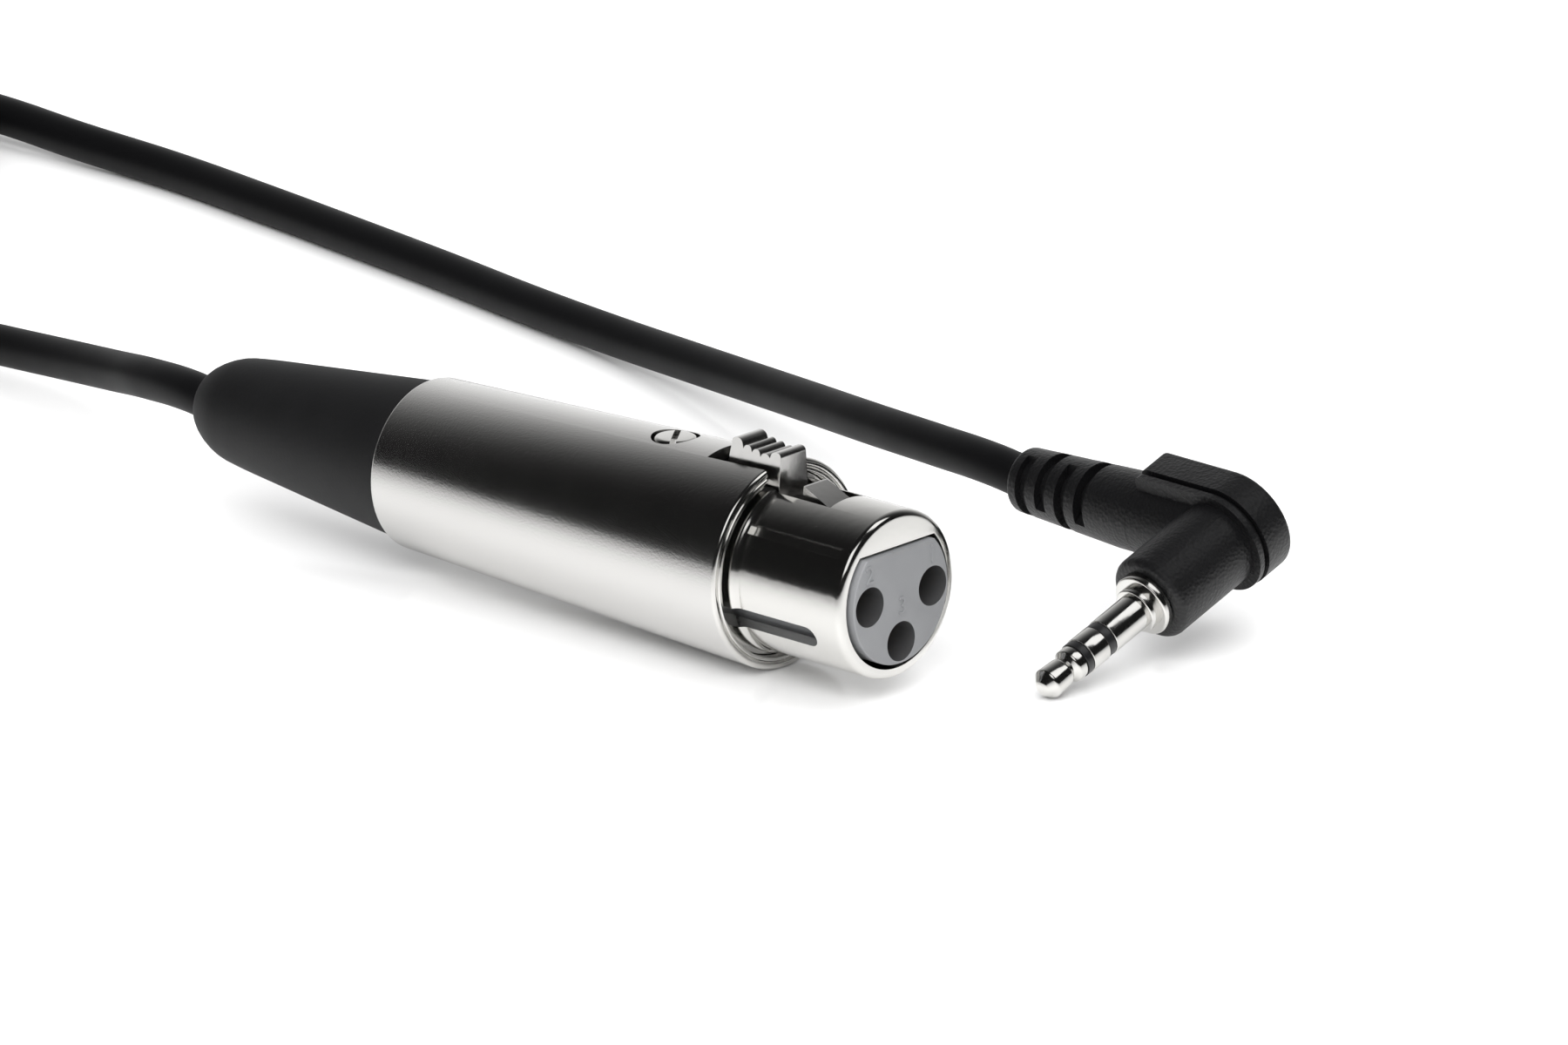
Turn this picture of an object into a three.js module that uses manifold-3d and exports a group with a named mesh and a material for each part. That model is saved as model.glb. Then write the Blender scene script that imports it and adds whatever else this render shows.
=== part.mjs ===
// XLR socket to 3.5 mm right-angle plug lead, with its spare cable coiled.
// Millimetres. +X is the way the socket faces, +Z is up, the surface it lies on is floorZ.
// The origin is the middle of the socket's face.

import * as THREE from 'three';
import { mergeVertices } from 'three/addons/utils/BufferGeometryUtils.js';
import Module from 'manifold-3d';

const wasm = await Module();
wasm.setup();

// ---------------------------------------------------------------- driving sizes

const fit = 0.1;              // radial clearance between pieces that seat in each other
const faceGap = 0.3;          // clearance between faces that only meet
const round = 48;             // sides of a full turn on the larger pieces
const roundSmall = 24;        // sides of a full turn on the small ones

const handle = {
  lipRadius: 9.8, rearRadius: 8.15, length: 44.4, wall: 1.2, edge: 0.45,
};
const nose = {
  radius: 7.8, reach: 13.8, setBack: 0.5, rimRound: 0.5, seat: 6.7, shoulder: 1.9,
  insertGap: 0.5, frontWall: 2.5, windowEnd: -6.5, keyWidth: 2.15, keyDepth: 1.6, keyEnd: -4.8,
  keyAngle: -156.5, grooveWidth: 0.7, grooveDepth: 0.25, grooveEnd: -2.3,
};
const insert = {
  bodyRadius: 6.3, chord: 4.45, flat: 3.6, blockLength: 9.7, slotLength: 3.5, edge: 0.25,
};
const contact = {
  circle: 4.2, radius: 1.75, bore: 1.2, setBack: 3.0, depth: 14, cupRadius: 1.3, cupBore: 0.9,
  cupLength: 4,
};
const latch = {
  width: 4.0, hookWidth: 3.2, pivotX: -22.6, pivotZ: 5.6, bossRadius: 1.5, pinRadius: 0.7,
  armBottom: 5.1, armTop: 6.6, tipX: -7.3, crestX: -10.4, crestRise: 0.65, rampDrop: 0.7,
  blockRear: -19.7, blockFront: -13.0, blockRise: 1.6, ridges: 4, ridgePitch: 1.15,
  ridgeDepth: 0.45, sideGap: 0.25,
};
const spring = { x: -16, radius: 1.15, wire: 0.2, turns: 3.5, pocketZ: 2.4 };
const screw = {
  x: -27.4, headRadius: 2.0, headDepth: 1.6, shankRadius: 1.25, tipZ: 3.6, slot: 0.5,
  bushRadius: 2.1, recess: 0.25,
};
const cable = { radius: 2.0, coreRadius: 0.6 };
const collet = { inset: 13.7, length: 5.5, slot: 1.0 };
const boot = {
  step: 0.5, tailRadius: 5.35, taper: 21.8, nose: 6, sleeve: 8, grip: 0.15,
};
const floorZ = -handle.lipRadius;

const lipX = -nose.reach;
const rearX = lipX - handle.length;
const noseRearX = lipX - nose.seat;
const blockFrontX = noseRearX - faceGap;
const blockRearX = blockFrontX - insert.blockLength;
const handleRadius = (x) =>
  handle.lipRadius + (handle.rearRadius - handle.lipRadius) * (lipX - x) / handle.length;
const handleBore = (x) => handleRadius(x) - handle.wall;
const noseBore = insert.bodyRadius + nose.insertGap;
const blockTop = handle.lipRadius + latch.blockRise;
const colletFront = rearX + collet.inset;
const bootBore = cable.radius + boot.grip;
const bootTail = rearX - boot.taper;
const bootEnd = bootTail - boot.nose;

// ---------------------------------------------------------------- materials

const finish = (color, roughness, metalness) =>
  new THREE.MeshStandardMaterial({ color, roughness, metalness });
const satinNickel = finish('#b9b7b2', 0.38, 1);
const polishedNickel = finish('#d9d8d4', 0.12, 1);
const springSteel = finish('#a9abae', 0.3, 1);
const brass = finish('#c9a75a', 0.3, 1);
const greyPlastic = finish('#8a8c8e', 0.6, 0);
const whitePlastic = finish('#e4e2da', 0.55, 0);
const blackPlastic = finish('#1d1d1e', 0.45, 0);
const blackRubber = finish('#1a1a1a', 0.8, 0);
const blackPvc = finish('#161617', 0.5, 0);
const tieFabric = finish('#222224', 0.9, 0);
const coreRed = finish('#b02a24', 0.5, 0);
const coreWhite = finish('#e8e6e0', 0.5, 0);
const copper = finish('#b8734a', 0.4, 1);

// ---------------------------------------------------------------- solid helpers

// A geometry's closed skin: positions only, doubles merged, no slivers, facing outwards.
function closedSkin(source) {
  let geometry = source.clone();
  for (const name of Object.keys(geometry.attributes)) {
    if (name !== 'position') geometry.deleteAttribute(name);
  }
  geometry = mergeVertices(geometry, 1e-5);
  const position = geometry.attributes.position;
  const old = geometry.index.array;
  const kept = [];
  let volume = 0;
  const [a, b, c] = [new THREE.Vector3(), new THREE.Vector3(), new THREE.Vector3()];
  for (let i = 0; i < old.length; i += 3) {
    const [p, q, r] = [old[i], old[i + 1], old[i + 2]];
    if (p === q || q === r || r === p) continue;
    kept.push(p, q, r);
    a.fromBufferAttribute(position, p);
    b.fromBufferAttribute(position, q);
    c.fromBufferAttribute(position, r);
    volume += a.dot(b.cross(c));
  }
  if (volume < 0) kept.reverse();
  geometry.setIndex(kept);
  return geometry;
}

function solid(geometry) {
  const skin = closedSkin(geometry);
  return new wasm.Manifold(new wasm.Mesh({
    numProp: 3,
    vertProperties: new Float32Array(skin.attributes.position.array),
    triVerts: new Uint32Array(skin.index.array),
  }));
}

function skinOf(manifold) {
  const mesh = manifold.getMesh();
  const geometry = new THREE.BufferGeometry();
  const places = new Float32Array(mesh.vertProperties);
  geometry.setAttribute('position', new THREE.BufferAttribute(places, 3));
  geometry.setIndex(new THREE.BufferAttribute(new Uint32Array(mesh.triVerts), 1));
  geometry.computeVertexNormals();
  return geometry;
}

// A profile of [place along X, radius] points turned about the X axis. It closes on itself.
function turned(profile, sides = round) {
  const points = profile.map(([along, radius]) => new THREE.Vector2(radius, along));
  const onAxis = profile[0][1] === 0 && profile[profile.length - 1][1] === 0;
  if (!onAxis) points.push(points[0].clone());
  return closedSkin(new THREE.LatheGeometry(points, sides).rotateZ(-Math.PI / 2));
}

// A cylinder along X, from one place to another, off the axis by y and z.
function rodX(from, to, radius, y = 0, z = 0, sides = roundSmall) {
  const rod = turned([[from, 0], [from, radius], [to, radius], [to, 0]], sides);
  return rod.translate(0, y, z);
}

function rodY(from, to, radius, x = 0, z = 0, sides = roundSmall) {
  return rodX(from, to, radius, 0, 0, sides).rotateZ(Math.PI / 2).translate(x, 0, z);
}

function rodZ(from, to, radius, x = 0, y = 0, sides = roundSmall) {
  return rodX(from, to, radius, 0, 0, sides).rotateY(-Math.PI / 2).translate(x, y, 0);
}

function block(x0, x1, y0, y1, z0, z1) {
  const box = new THREE.BoxGeometry(x1 - x0, y1 - y0, z1 - z0);
  return box.translate((x0 + x1) / 2, (y0 + y1) / 2, (z0 + z1) / 2);
}

// An outline of [x, z] points, extruded along Y to a width about the middle.
function slab(outline, width) {
  const shape = new THREE.Shape(outline.map(([x, z]) => new THREE.Vector2(x, z)));
  const geometry = new THREE.ExtrudeGeometry(shape, { depth: width, bevelEnabled: false });
  return geometry.rotateX(Math.PI / 2).translate(0, width / 2, 0);
}

// A round rod of a given radius along a smooth curve through points.
function rodAlong(points, radius, steps, sides = 8) {
  const section = new THREE.Shape();
  for (let i = 0; i < sides; i += 1) {
    const angle = 2 * Math.PI * i / sides;
    const corner = [radius * Math.cos(angle), radius * Math.sin(angle)];
    if (i === 0) section.moveTo(...corner);
    else section.lineTo(...corner);
  }
  section.closePath();
  const places = points.map((p) => new THREE.Vector3(...p));
  const path = new THREE.CatmullRomCurve3(places, false, 'centripetal');
  return new THREE.ExtrudeGeometry(section, { steps, bevelEnabled: false, extrudePath: path });
}

// Points of a quarter ellipse from (x0, r0), tangent to the axis, to (x1, r1), square to it.
function quarter(x0, r0, x1, r1, count = 5) {
  const points = [];
  for (let i = 0; i <= count; i += 1) {
    const angle = (Math.PI / 2) * i / count;
    points.push([x0 + (x1 - x0) * Math.sin(angle), r1 + (r0 - r1) * Math.cos(angle)]);
  }
  return points;
}

const group = new THREE.Group();

function place(name, geometry, material, parent = group) {
  const mesh = new THREE.Mesh(geometry, material);
  mesh.name = name;
  parent.add(mesh);
  return mesh;
}

// ---------------------------------------------------------------- socket: handle and nose

function handleShell() {
  const { lipRadius, rearRadius, wall, edge } = handle;
  let shell = solid(turned([
    [lipX, lipRadius - wall + edge / 2], [lipX, lipRadius - edge], [lipX - edge, lipRadius],
    [rearX + edge, rearRadius], [rearX, rearRadius - edge], [rearX, rearRadius - wall],
    [lipX - edge / 2, lipRadius - wall],
  ], 64));
  const slotSide = latch.width / 2 + latch.sideGap + 0.35;
  const above = lipRadius + 2;
  shell = shell.subtract(solid(block(latch.blockRear - 1.4, lipX + 1, -slotSide, slotSide, 5, above)));
  shell = shell.subtract(solid(rodZ(4, above, screw.headRadius + screw.recess, screw.x)));
  return skinOf(shell);
}

// The keyway and the two shallow grooves are cut at an angle around the nose.
function noseCutter(fromX, toX, width, depth, angle, roundEnd) {
  const inner = nose.radius - depth;
  const parts = solid(block(fromX, toX, inner, nose.radius + 2, -width / 2, width / 2));
  const cutter = roundEnd
    ? parts.add(solid(rodY(inner, nose.radius + 2, width / 2, toX)))
    : parts;
  return cutter.rotate([angle, 0, 0]);
}

function noseShell() {
  const { radius, setBack, rimRound, shoulder, frontWall, windowEnd } = nose;
  const rim = -setBack;
  const seatFront = handleBore(lipX) - fit;
  const seatRear = handleBore(noseRearX) - fit;
  let shell = solid(turned([
    [noseRearX, 0], [noseRearX, seatRear], [lipX, seatFront],
    ...quarter(lipX + 0.3, seatFront, lipX + shoulder, radius, 4).slice(1),
    ...quarter(rim - rimRound, radius, rim, radius - rimRound, 5), [rim, 0],
  ], 64));
  const chordTop = insert.chord + fit * 2;
  const behindWall = rodX(noseRearX - 1, -frontWall, noseBore, 0, 0, round);
  const mouth = solid(rodX(-frontWall - 0.1, rim + 1, noseBore, 0, 0, round))
    .subtract(solid(block(-frontWall - 1, rim + 2, -noseBore, noseBore, chordTop, noseBore + 1)));

  const side = latch.width / 2 + latch.sideGap;
  const above = handle.lipRadius + 2;
  shell = shell.subtract(solid(behindWall)).subtract(mouth)
    .subtract(solid(block(noseRearX - 1, windowEnd, -side, side, 3, above)))
    .subtract(noseCutter(lipX - 1, nose.keyEnd, nose.keyWidth, nose.keyDepth, nose.keyAngle, true));
  const { grooveEnd, grooveWidth, grooveDepth } = nose;
  for (const angle of [40, 140, -112]) {
    const groove = noseCutter(lipX + shoulder, grooveEnd, grooveWidth, grooveDepth, angle, false);
    shell = shell.subtract(groove);
  }
  return skinOf(shell);
}

// ---------------------------------------------------------------- socket: insert and contacts

const socketPlaces = [
  ['1', contact.circle, 0],
  ['2', -contact.circle, 0],
  ['3', 0, -contact.circle],
];
const contactRear = blockRearX - 1;
const cupRear = contactRear - contact.cupLength;

function contactInsert() {
  const blockRadius = handleBore(blockRearX) - fit;
  let body = solid(turned([
    [blockRearX, 0], [blockRearX, blockRadius], [blockFrontX, blockRadius],
    [blockFrontX, insert.bodyRadius], [-insert.edge, insert.bodyRadius],
    [0, insert.bodyRadius - insert.edge],
    [0, 0],
  ]));
  const leverSide = latch.width / 2 + latch.sideGap;
  const slotRear = blockFrontX - insert.slotLength;
  const wide = blockRadius + 1;
  body = body
    .subtract(solid(block(-nose.frontWall - 1, 1, -wide, wide, insert.chord, wide)))
    .subtract(solid(block(blockFrontX, -nose.frontWall - faceGap, -wide, wide, insert.flat, wide)))
    .subtract(solid(block(slotRear, blockFrontX + 1, -leverSide, leverSide, insert.flat, wide)))
    .subtract(solid(rodZ(spring.pocketZ, wide, spring.radius + spring.wire + 0.25, spring.x)))
    .subtract(solid(rodY(-wide, wide, latch.pinRadius + 0.05, latch.pivotX, latch.pivotZ)))
    .subtract(solid(rodZ(screw.tipZ - 0.5, wide, screw.bushRadius + 0.1, screw.x)));
  for (const [, y, z] of socketPlaces) {
    body = body.subtract(solid(rodX(blockRearX - 1, 1, contact.radius + fit, y, z)));
  }
  return skinOf(body);
}

function socketContact(y, z) {
  const { radius, bore, setBack, depth, cupRadius, cupBore, cupLength } = contact;
  const front = -setBack;
  const tube = solid(turned([
    [cupRear, 0], [cupRear, cupRadius], [contactRear, cupRadius], [contactRear, radius],
    [front - 0.3, radius], [front, radius - 0.3], [front, bore], [front - depth, bore],
    [front - depth, 0],
  ], roundSmall));
  const cup = solid(rodX(cupRear - 1, cupRear + cupLength - 0.8, cupBore))
    .add(solid(block(cupRear - 1, cupRear + 2.2, -2, 2, 0.25, 2)));
  return skinOf(tube.subtract(cup)).translate(0, y, z);
}

// ---------------------------------------------------------------- socket: latch and screw

function latchLever() {
  const { blockRear, blockFront, ridgePitch, ridgeDepth, armTop, armBottom } = latch;
  const outline = [
    [latch.pivotX, armBottom], [latch.tipX, armBottom], [latch.tipX, armTop],
    [blockFront, armTop], [blockFront, blockTop - 0.15], [blockFront - 0.15, blockTop],
    [blockFront - 1.15, blockTop],
  ];
  let ridgeX = blockFront - 1.15;
  for (let i = 0; i < latch.ridges; i += 1) {
    outline.push([ridgeX, blockTop - ridgeDepth], [ridgeX - ridgePitch * 0.45, blockTop - ridgeDepth]);
    outline.push([ridgeX - ridgePitch * 0.7, blockTop], [ridgeX - ridgePitch, blockTop]);
    ridgeX -= ridgePitch;
  }
  outline.push([blockRear + 0.6, blockTop], [blockRear, armTop], [latch.pivotX, armTop]);
  const crestZ = nose.radius + latch.crestRise;
  const rampZ = nose.radius - latch.rampDrop;
  const hook = [
    [latch.crestX - 0.1, armTop - 0.5], [latch.tipX, armTop - 0.5], [latch.tipX, rampZ],
    [latch.crestX + 0.15, crestZ], [latch.crestX, crestZ],
  ];
  const half = latch.width / 2;
  const boss = rodY(-half, half, latch.bossRadius, latch.pivotX, latch.pivotZ);
  const pinHole = rodY(-half - 1, half + 1, latch.pinRadius + fit, latch.pivotX, latch.pivotZ);
  return skinOf(solid(slab(outline, latch.width)).add(solid(slab(hook, latch.hookWidth)))
    .add(solid(boss)).subtract(solid(pinHole)));
}

function latchSpring() {
  const bottom = spring.pocketZ + spring.wire + 0.05;
  const top = latch.armBottom - spring.wire - 0.05;
  const points = [];
  const perTurn = 10;
  for (let i = 0; i <= spring.turns * perTurn; i += 1) {
    const angle = 2 * Math.PI * i / perTurn;
    const height = bottom + (top - bottom) * i / (spring.turns * perTurn);
    points.push([spring.x + spring.radius * Math.cos(angle), spring.radius * Math.sin(angle), height]);
  }
  return rodAlong(points, spring.wire, spring.turns * perTurn, 6);
}

function latchPin() {
  const seat = handleBore(latch.pivotX) - fit;
  const reach = Math.sqrt(seat ** 2 - (latch.pivotZ + latch.pinRadius) ** 2) - 0.4;
  return rodY(-reach, reach, latch.pinRadius, latch.pivotX, latch.pivotZ);
}

const screwTop = handleRadius(screw.x) - 0.08;
const screwShoulder = screwTop - screw.headDepth;

function retainingScrew() {
  const { headRadius, shankRadius, tipZ, slot } = screw;
  const body = turned([
    [tipZ, 0], [tipZ, shankRadius - 0.3], [tipZ + 0.4, shankRadius], [screwShoulder, shankRadius],
    [screwShoulder, headRadius], [screwTop - 0.2, headRadius], [screwTop, headRadius - 0.2], [screwTop, 0],
  ], roundSmall).rotateY(-Math.PI / 2).translate(screw.x, 0, 0);
  const slotCut = block(-slot / 2, slot / 2, -4, 4, screwTop - 0.6, screwTop + 1);
  slotCut.rotateZ(THREE.MathUtils.degToRad(35)).translate(screw.x, 0, 0);
  return skinOf(solid(body).subtract(solid(slotCut)));
}

function screwBush() {
  const bottom = screw.tipZ - 0.4;
  const top = screwShoulder - 0.2;
  const bore = screw.shankRadius + fit;
  const { bushRadius } = screw;
  const profile = [[bottom, bore], [bottom, bushRadius], [top, bushRadius], [top, bore]];
  return turned(profile, roundSmall)
    .rotateY(-Math.PI / 2).translate(screw.x, 0, 0);
}

// ---------------------------------------------------------------- socket: cable end

function cableCollet() {
  const { length, slot } = collet;
  const front = colletFront;
  const rear = front - length;
  let ring = solid(turned([
    [rear, cable.radius + fit], [rear, handleBore(rear) - fit * 2], [front, handleBore(front) - 0.9],
    [front, cable.radius + fit],
  ], roundSmall * 2));
  for (const angle of [0, 90]) {
    ring = ring.subtract(solid(block(front - length * 0.7, front + 1, -12, 12, -slot / 2, slot / 2))
      .rotate([angle, 0, 0]));
  }
  return skinOf(ring);
}

function rubberBoot() {
  const { step, tailRadius, sleeve } = boot;
  const shoulderRadius = handle.rearRadius - step;
  const bore = bootBore;
  const seat = rearX + sleeve;
  return turned([
    [seat, bore + 1.5], [seat, handleBore(seat) - fit], [rearX + fit, handleBore(rearX) - fit],
    [rearX - fit, handleBore(rearX) - fit], [rearX - fit, shoulderRadius], [bootTail, tailRadius],
    ...quarter(bootTail, tailRadius, bootEnd, bore + 0.6, 6).slice(1), [bootEnd, bore],
    [rearX, bore],
  ], round);
}

const jacketFront = colletFront + 1.5;

function jacketInBoot() {
  return rodX(bootEnd + faceGap, jacketFront, cable.radius);
}

function conductor(y, z, angle) {
  const start = jacketFront + faceGap;
  const off = cable.coreRadius * 1.5;
  const [y0, z0] = [off * Math.cos(angle), off * Math.sin(angle)];
  const end = cupRear + contact.cupLength - 1.2;
  return rodAlong([
    [start, y0, z0], [start + 2, y0 * 1.3, z0 * 1.3], [cupRear - 2.5, y * 0.95, z * 0.95],
    [cupRear - 1, y, z], [end, y, z],
  ], cable.coreRadius, 12);
}

place('handle_shell', handleShell(), satinNickel);
place('nose_shell', noseShell(), polishedNickel);
place('contact_insert', contactInsert(), greyPlastic);
socketPlaces.forEach(([label, y, z], i) => {
  place(`socket_contact_${label}`, socketContact(y, z), brass);
  const core = [coreWhite, coreRed, copper][(i + 1) % 3];
  place(`conductor_${label}`, conductor(y, z, [0, Math.PI, -Math.PI / 2][i]), core);
});
place('latch_lever', latchLever(), polishedNickel);
place('latch_spring', latchSpring(), springSteel);
place('latch_pin', latchPin(), springSteel);
place('retaining_screw', retainingScrew(), polishedNickel);
place('screw_bush', screwBush(), brass);
place('cable_collet', cableCollet(), whitePlastic);
place('rubber_boot', rubberBoot(), blackRubber);
place('jacket_in_boot', jacketInBoot(), blackPvc);

// ---------------------------------------------------------------- plug
// The plug has its own frame: +X towards its tip, -Y the way its cable leaves, origin on the
// front of its flange. It lies with its tip on the surface.

const plug = {
  x: 9.8, y: 21.4, turn: -91.7, pitch: 19.5,
  length: 14, radius: 1.75, tipStep: 0.25, bulbStep: 0.13, coneStart: 13.1,
  flangeRadius: 3.0, flange: 1.0, bossRadius: 2.2, boss: 0.9,
  insulatorRear: [5.3, 6.2], insulatorFront: [8.4, 9.2],
  armRadius: 4.15, bodyBore: 2.1, terminalRoom: 3.1, plateX: -10.9,
  grooveX: -11.5, groove: 0.45, capBack: -15.4, capRadius: 5.15, capEnd: -8.9, grooveDepth: 0.5,
  reliefX: -12, reliefRadius: 3.7, reliefTail: 3.05, reliefRoot: -9.2, reliefEnd: -24.45,
  neckRadius: 2.9, neckEnd: -3.4, slots: 4, slotPitch: 2.53, slotWidth: 1.15, slotFirst: -22.55,
  ribHalf: 1.1, ribTurns: [73, 26], leadLength: 4.5, leadDrift: 0.6,
};
const tipRadius = plug.radius - plug.tipStep;
const bulbRadius = plug.radius - plug.bulbStep;
const plugPitch = THREE.MathUtils.degToRad(plug.pitch);
const plugTurn = THREE.MathUtils.degToRad(plug.turn);
const plugGroup = new THREE.Group();
const tipReach = plug.coneStart * Math.sin(plugPitch) + tipRadius * Math.cos(plugPitch);
plugGroup.position.set(plug.x, plug.y, floorZ + tipReach + 0.02);
plugGroup.rotation.set(0, plugPitch, plugTurn, 'ZYX');
group.add(plugGroup);

const skinGap = 0.06;         // between the plug's coaxial tubes, which have the same sides
const tube = (profile) => turned(profile, roundSmall);
const coreTubes = [0.55, 0.8, 1.05];

function plugTip() {
  const [, from] = plug.insulatorFront;
  const rod = coreTubes[0] - skinGap;
  return tube([
    [-9, 0], [-9, rod], [from + skinGap, rod], [from + skinGap, bulbRadius],
    [from + 0.95, bulbRadius], [from + 1.25, tipRadius - 0.2],
    [plug.coneStart - 1.6, tipRadius], [plug.coneStart, tipRadius],
    [plug.length - 0.15, 0.75], [plug.length, 0.45], [plug.length, 0],
  ]);
}

// A washer that shows between two contacts, on a tube that runs back inside them.
function plugInsulator([from, to], inner, outer, back) {
  return tube([
    [back, inner], [back, outer - skinGap], [from + skinGap, outer - skinGap],
    [from + skinGap, plug.radius - 0.05], [to, plug.radius - 0.05], [to, inner],
  ]);
}

function plugRing() {
  const from = plug.insulatorRear[1] + skinGap;
  const to = plug.insulatorFront[0];
  const [, inner, outer] = coreTubes;
  return tube([
    [-7.5, inner], [-7.5, outer - skinGap], [from, outer - skinGap], [from, plug.radius],
    [to, plug.radius], [to, inner],
  ]);
}

function plugSleeve() {
  const bore = coreTubes[2] + 0.25;
  const { radius, bossRadius, boss, flangeRadius, flange } = plug;
  return tube([
    [-5.5, bore], [-5.5, 1.9], [-flange + 0.05, 1.9], [-flange + 0.05, flangeRadius],
    [-0.15, flangeRadius], [0, flangeRadius - 0.15], [0, bossRadius], [boss - 0.1, bossRadius],
    [boss, bossRadius - 0.1], [boss, radius], [plug.insulatorRear[0], radius],
    [plug.insulatorRear[0], bore],
  ]);
}

// The outline of the plug's back: square where the cable leaves, round at the other end.
function backPlate(front, back, inset) {
  const radius = plug.capRadius - inset;
  const shape = new THREE.Shape();
  shape.moveTo(plug.capEnd + inset, -radius);
  shape.lineTo(0, -radius);
  shape.absarc(0, 0, radius, -Math.PI / 2, Math.PI / 2, false);
  shape.lineTo(plug.capEnd + inset, radius);
  shape.closePath();
  const plate = new THREE.ExtrudeGeometry(shape, {
    depth: front - back, bevelEnabled: false, curveSegments: 14,
  });
  return plate.rotateX(Math.PI / 2).rotateZ(Math.PI / 2).translate(back, 0, 0);
}

function reliefRod(from, to, radius) {
  return rodY(from, to, radius, plug.reliefX, 0, roundSmall);
}

function plugBody() {
  const { armRadius, plateX, grooveX, groove, reliefRoot } = plug;
  const front = -plug.flange;
  const arm = turned([
    [plateX, 0], [plateX, armRadius], ...quarter(front - 1, armRadius, front, armRadius - 0.8, 3),
    [front, 0],
  ], 36);
  const behind = block(-30, grooveX, -20, 20, -20, 20);
  const root = solid(reliefRod(reliefRoot, 0, plug.reliefRadius)).subtract(solid(behind));
  return skinOf(solid(arm).add(root)
    .add(solid(backPlate(plateX + 0.01, grooveX, 0.1)))
    .add(solid(backPlate(grooveX + 0.01, grooveX - groove, plug.grooveDepth)))
    .subtract(solid(rodX(-13, 0, plug.bodyBore)))
    .subtract(solid(rodX(-13, -7, plug.terminalRoom)))
    .subtract(solid(reliefRod(reliefRoot - 1, plug.neckEnd + 1, plug.neckRadius + faceGap))));
}

function plugCap() {
  const front = plug.grooveX - plug.groove - faceGap / 3;
  const pocket = block(plug.capBack + 1, front + 1, -3.2, 3, -3, 3);
  const cap = solid(backPlate(front, plug.capBack, 0)).subtract(solid(pocket))
    .subtract(solid(reliefRod(plug.reliefRoot - 1, plug.neckEnd + 1, plug.neckRadius + faceGap)));
  return skinOf(cap);
}

function plugRelief() {
  const { reliefRoot, reliefEnd, reliefRadius, reliefTail, neckRadius, neckEnd } = plug;
  const bore = cable.radius + fit;
  const root = reliefRoot - faceGap;
  let relief = solid(turned([
    [reliefEnd, bore], [reliefEnd, reliefTail - 0.4], [reliefEnd + 0.4, reliefTail],
    [root - 2, reliefRadius], [root, reliefRadius], [root, neckRadius], [neckEnd, neckRadius],
    [neckEnd, bore],
  ], roundSmall));
  for (let i = 0; i < plug.slots; i += 1) {
    const at = plug.slotFirst + plug.slotPitch * i;
    const inner = bore + 0.3;
    const ring = solid(turned([
      [at - plug.slotWidth / 2, inner], [at - plug.slotWidth / 2, 6],
      [at + plug.slotWidth / 2, 6], [at + plug.slotWidth / 2, inner],
    ], roundSmall));
    const rib = solid(block(at - 2, at + 2, -8, 8, -plug.ribHalf, plug.ribHalf))
      .rotate([plug.ribTurns[i % 2], 0, 0]);
    relief = relief.subtract(ring.subtract(rib));
  }
  return skinOf(relief).rotateZ(Math.PI / 2).translate(plug.reliefX, 0, 0);
}

const plugJacketEnd = plug.neckEnd - 2;

// Each core runs from the end of the jacket to its contact's tail.
const plugCores = [
  ['tip', coreRed, [[1.0, 0], [1.1, 1.5], [1.0, 3.5, 0.5], [0.4, 4.8, 1.4], [0, 5.1, 2.3], [0, 5.1, 2.65]]],
  ['ring', coreWhite, [[0, 0], [0, 1.7], [0, 3.1, 1.4], [0, 3.5, 3.0], [0, 3.7, 4.1]]],
  ['sleeve', copper, [[-1.0, 0], [-1.2, 1.6], [-1.6, 3.2, 1.5], [-1.6, 4.0, 4.0], [-1.4, 4.3, 6.15]]],
];

function plugConductor(route) {
  const start = plugJacketEnd + faceGap;
  const points = route.map(([z, along, forward = 0]) => [plug.reliefX + forward, start + along, z]);
  return rodAlong(points, 0.35, 10, 6);
}

place('plug_tip_contact', plugTip(), polishedNickel, plugGroup);
place('plug_front_insulator', plugInsulator(plug.insulatorFront, coreTubes[0], coreTubes[1], -8),
  blackPlastic, plugGroup);
place('plug_ring_contact', plugRing(), polishedNickel, plugGroup);
place('plug_rear_insulator', plugInsulator(plug.insulatorRear, coreTubes[2], coreTubes[2] + 0.25, -7),
  blackPlastic, plugGroup);
place('plug_sleeve_contact', plugSleeve(), polishedNickel, plugGroup);
place('plug_body', plugBody(), blackPvc, plugGroup);
place('plug_cap', plugCap(), blackPvc, plugGroup);
place('plug_strain_relief', plugRelief(), blackPvc, plugGroup);
place('jacket_in_plug', rodY(plug.reliefEnd + faceGap, plugJacketEnd, cable.radius, plug.reliefX, 0),
  blackPvc, plugGroup);
for (const [name, core, route] of plugCores) {
  place(`plug_conductor_${name}`, plugConductor(route), core, plugGroup);
}

// ---------------------------------------------------------------- free cable
// One cable from the boot to the plug. Its spare length is a round coil of two flat layers,
// wound in on top and out underneath, lifted off the surface by the tie around it.

const coil = { x: -206, y: 40.5, inner: 16, turnGap: 0.05, turns: 3.75, lift: 0.8 };
const tie = { width: 7, strap: 0.5, clear: 0.25, tabStart: 3, tabLength: 9 };
const coilPitch = cable.radius * 2 + coil.turnGap;
const coilOuter = coil.inner + coilPitch * coil.turns;
const layerLow = floorZ + coil.lift + cable.radius;
const layerHigh = layerLow + coilPitch;

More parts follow.
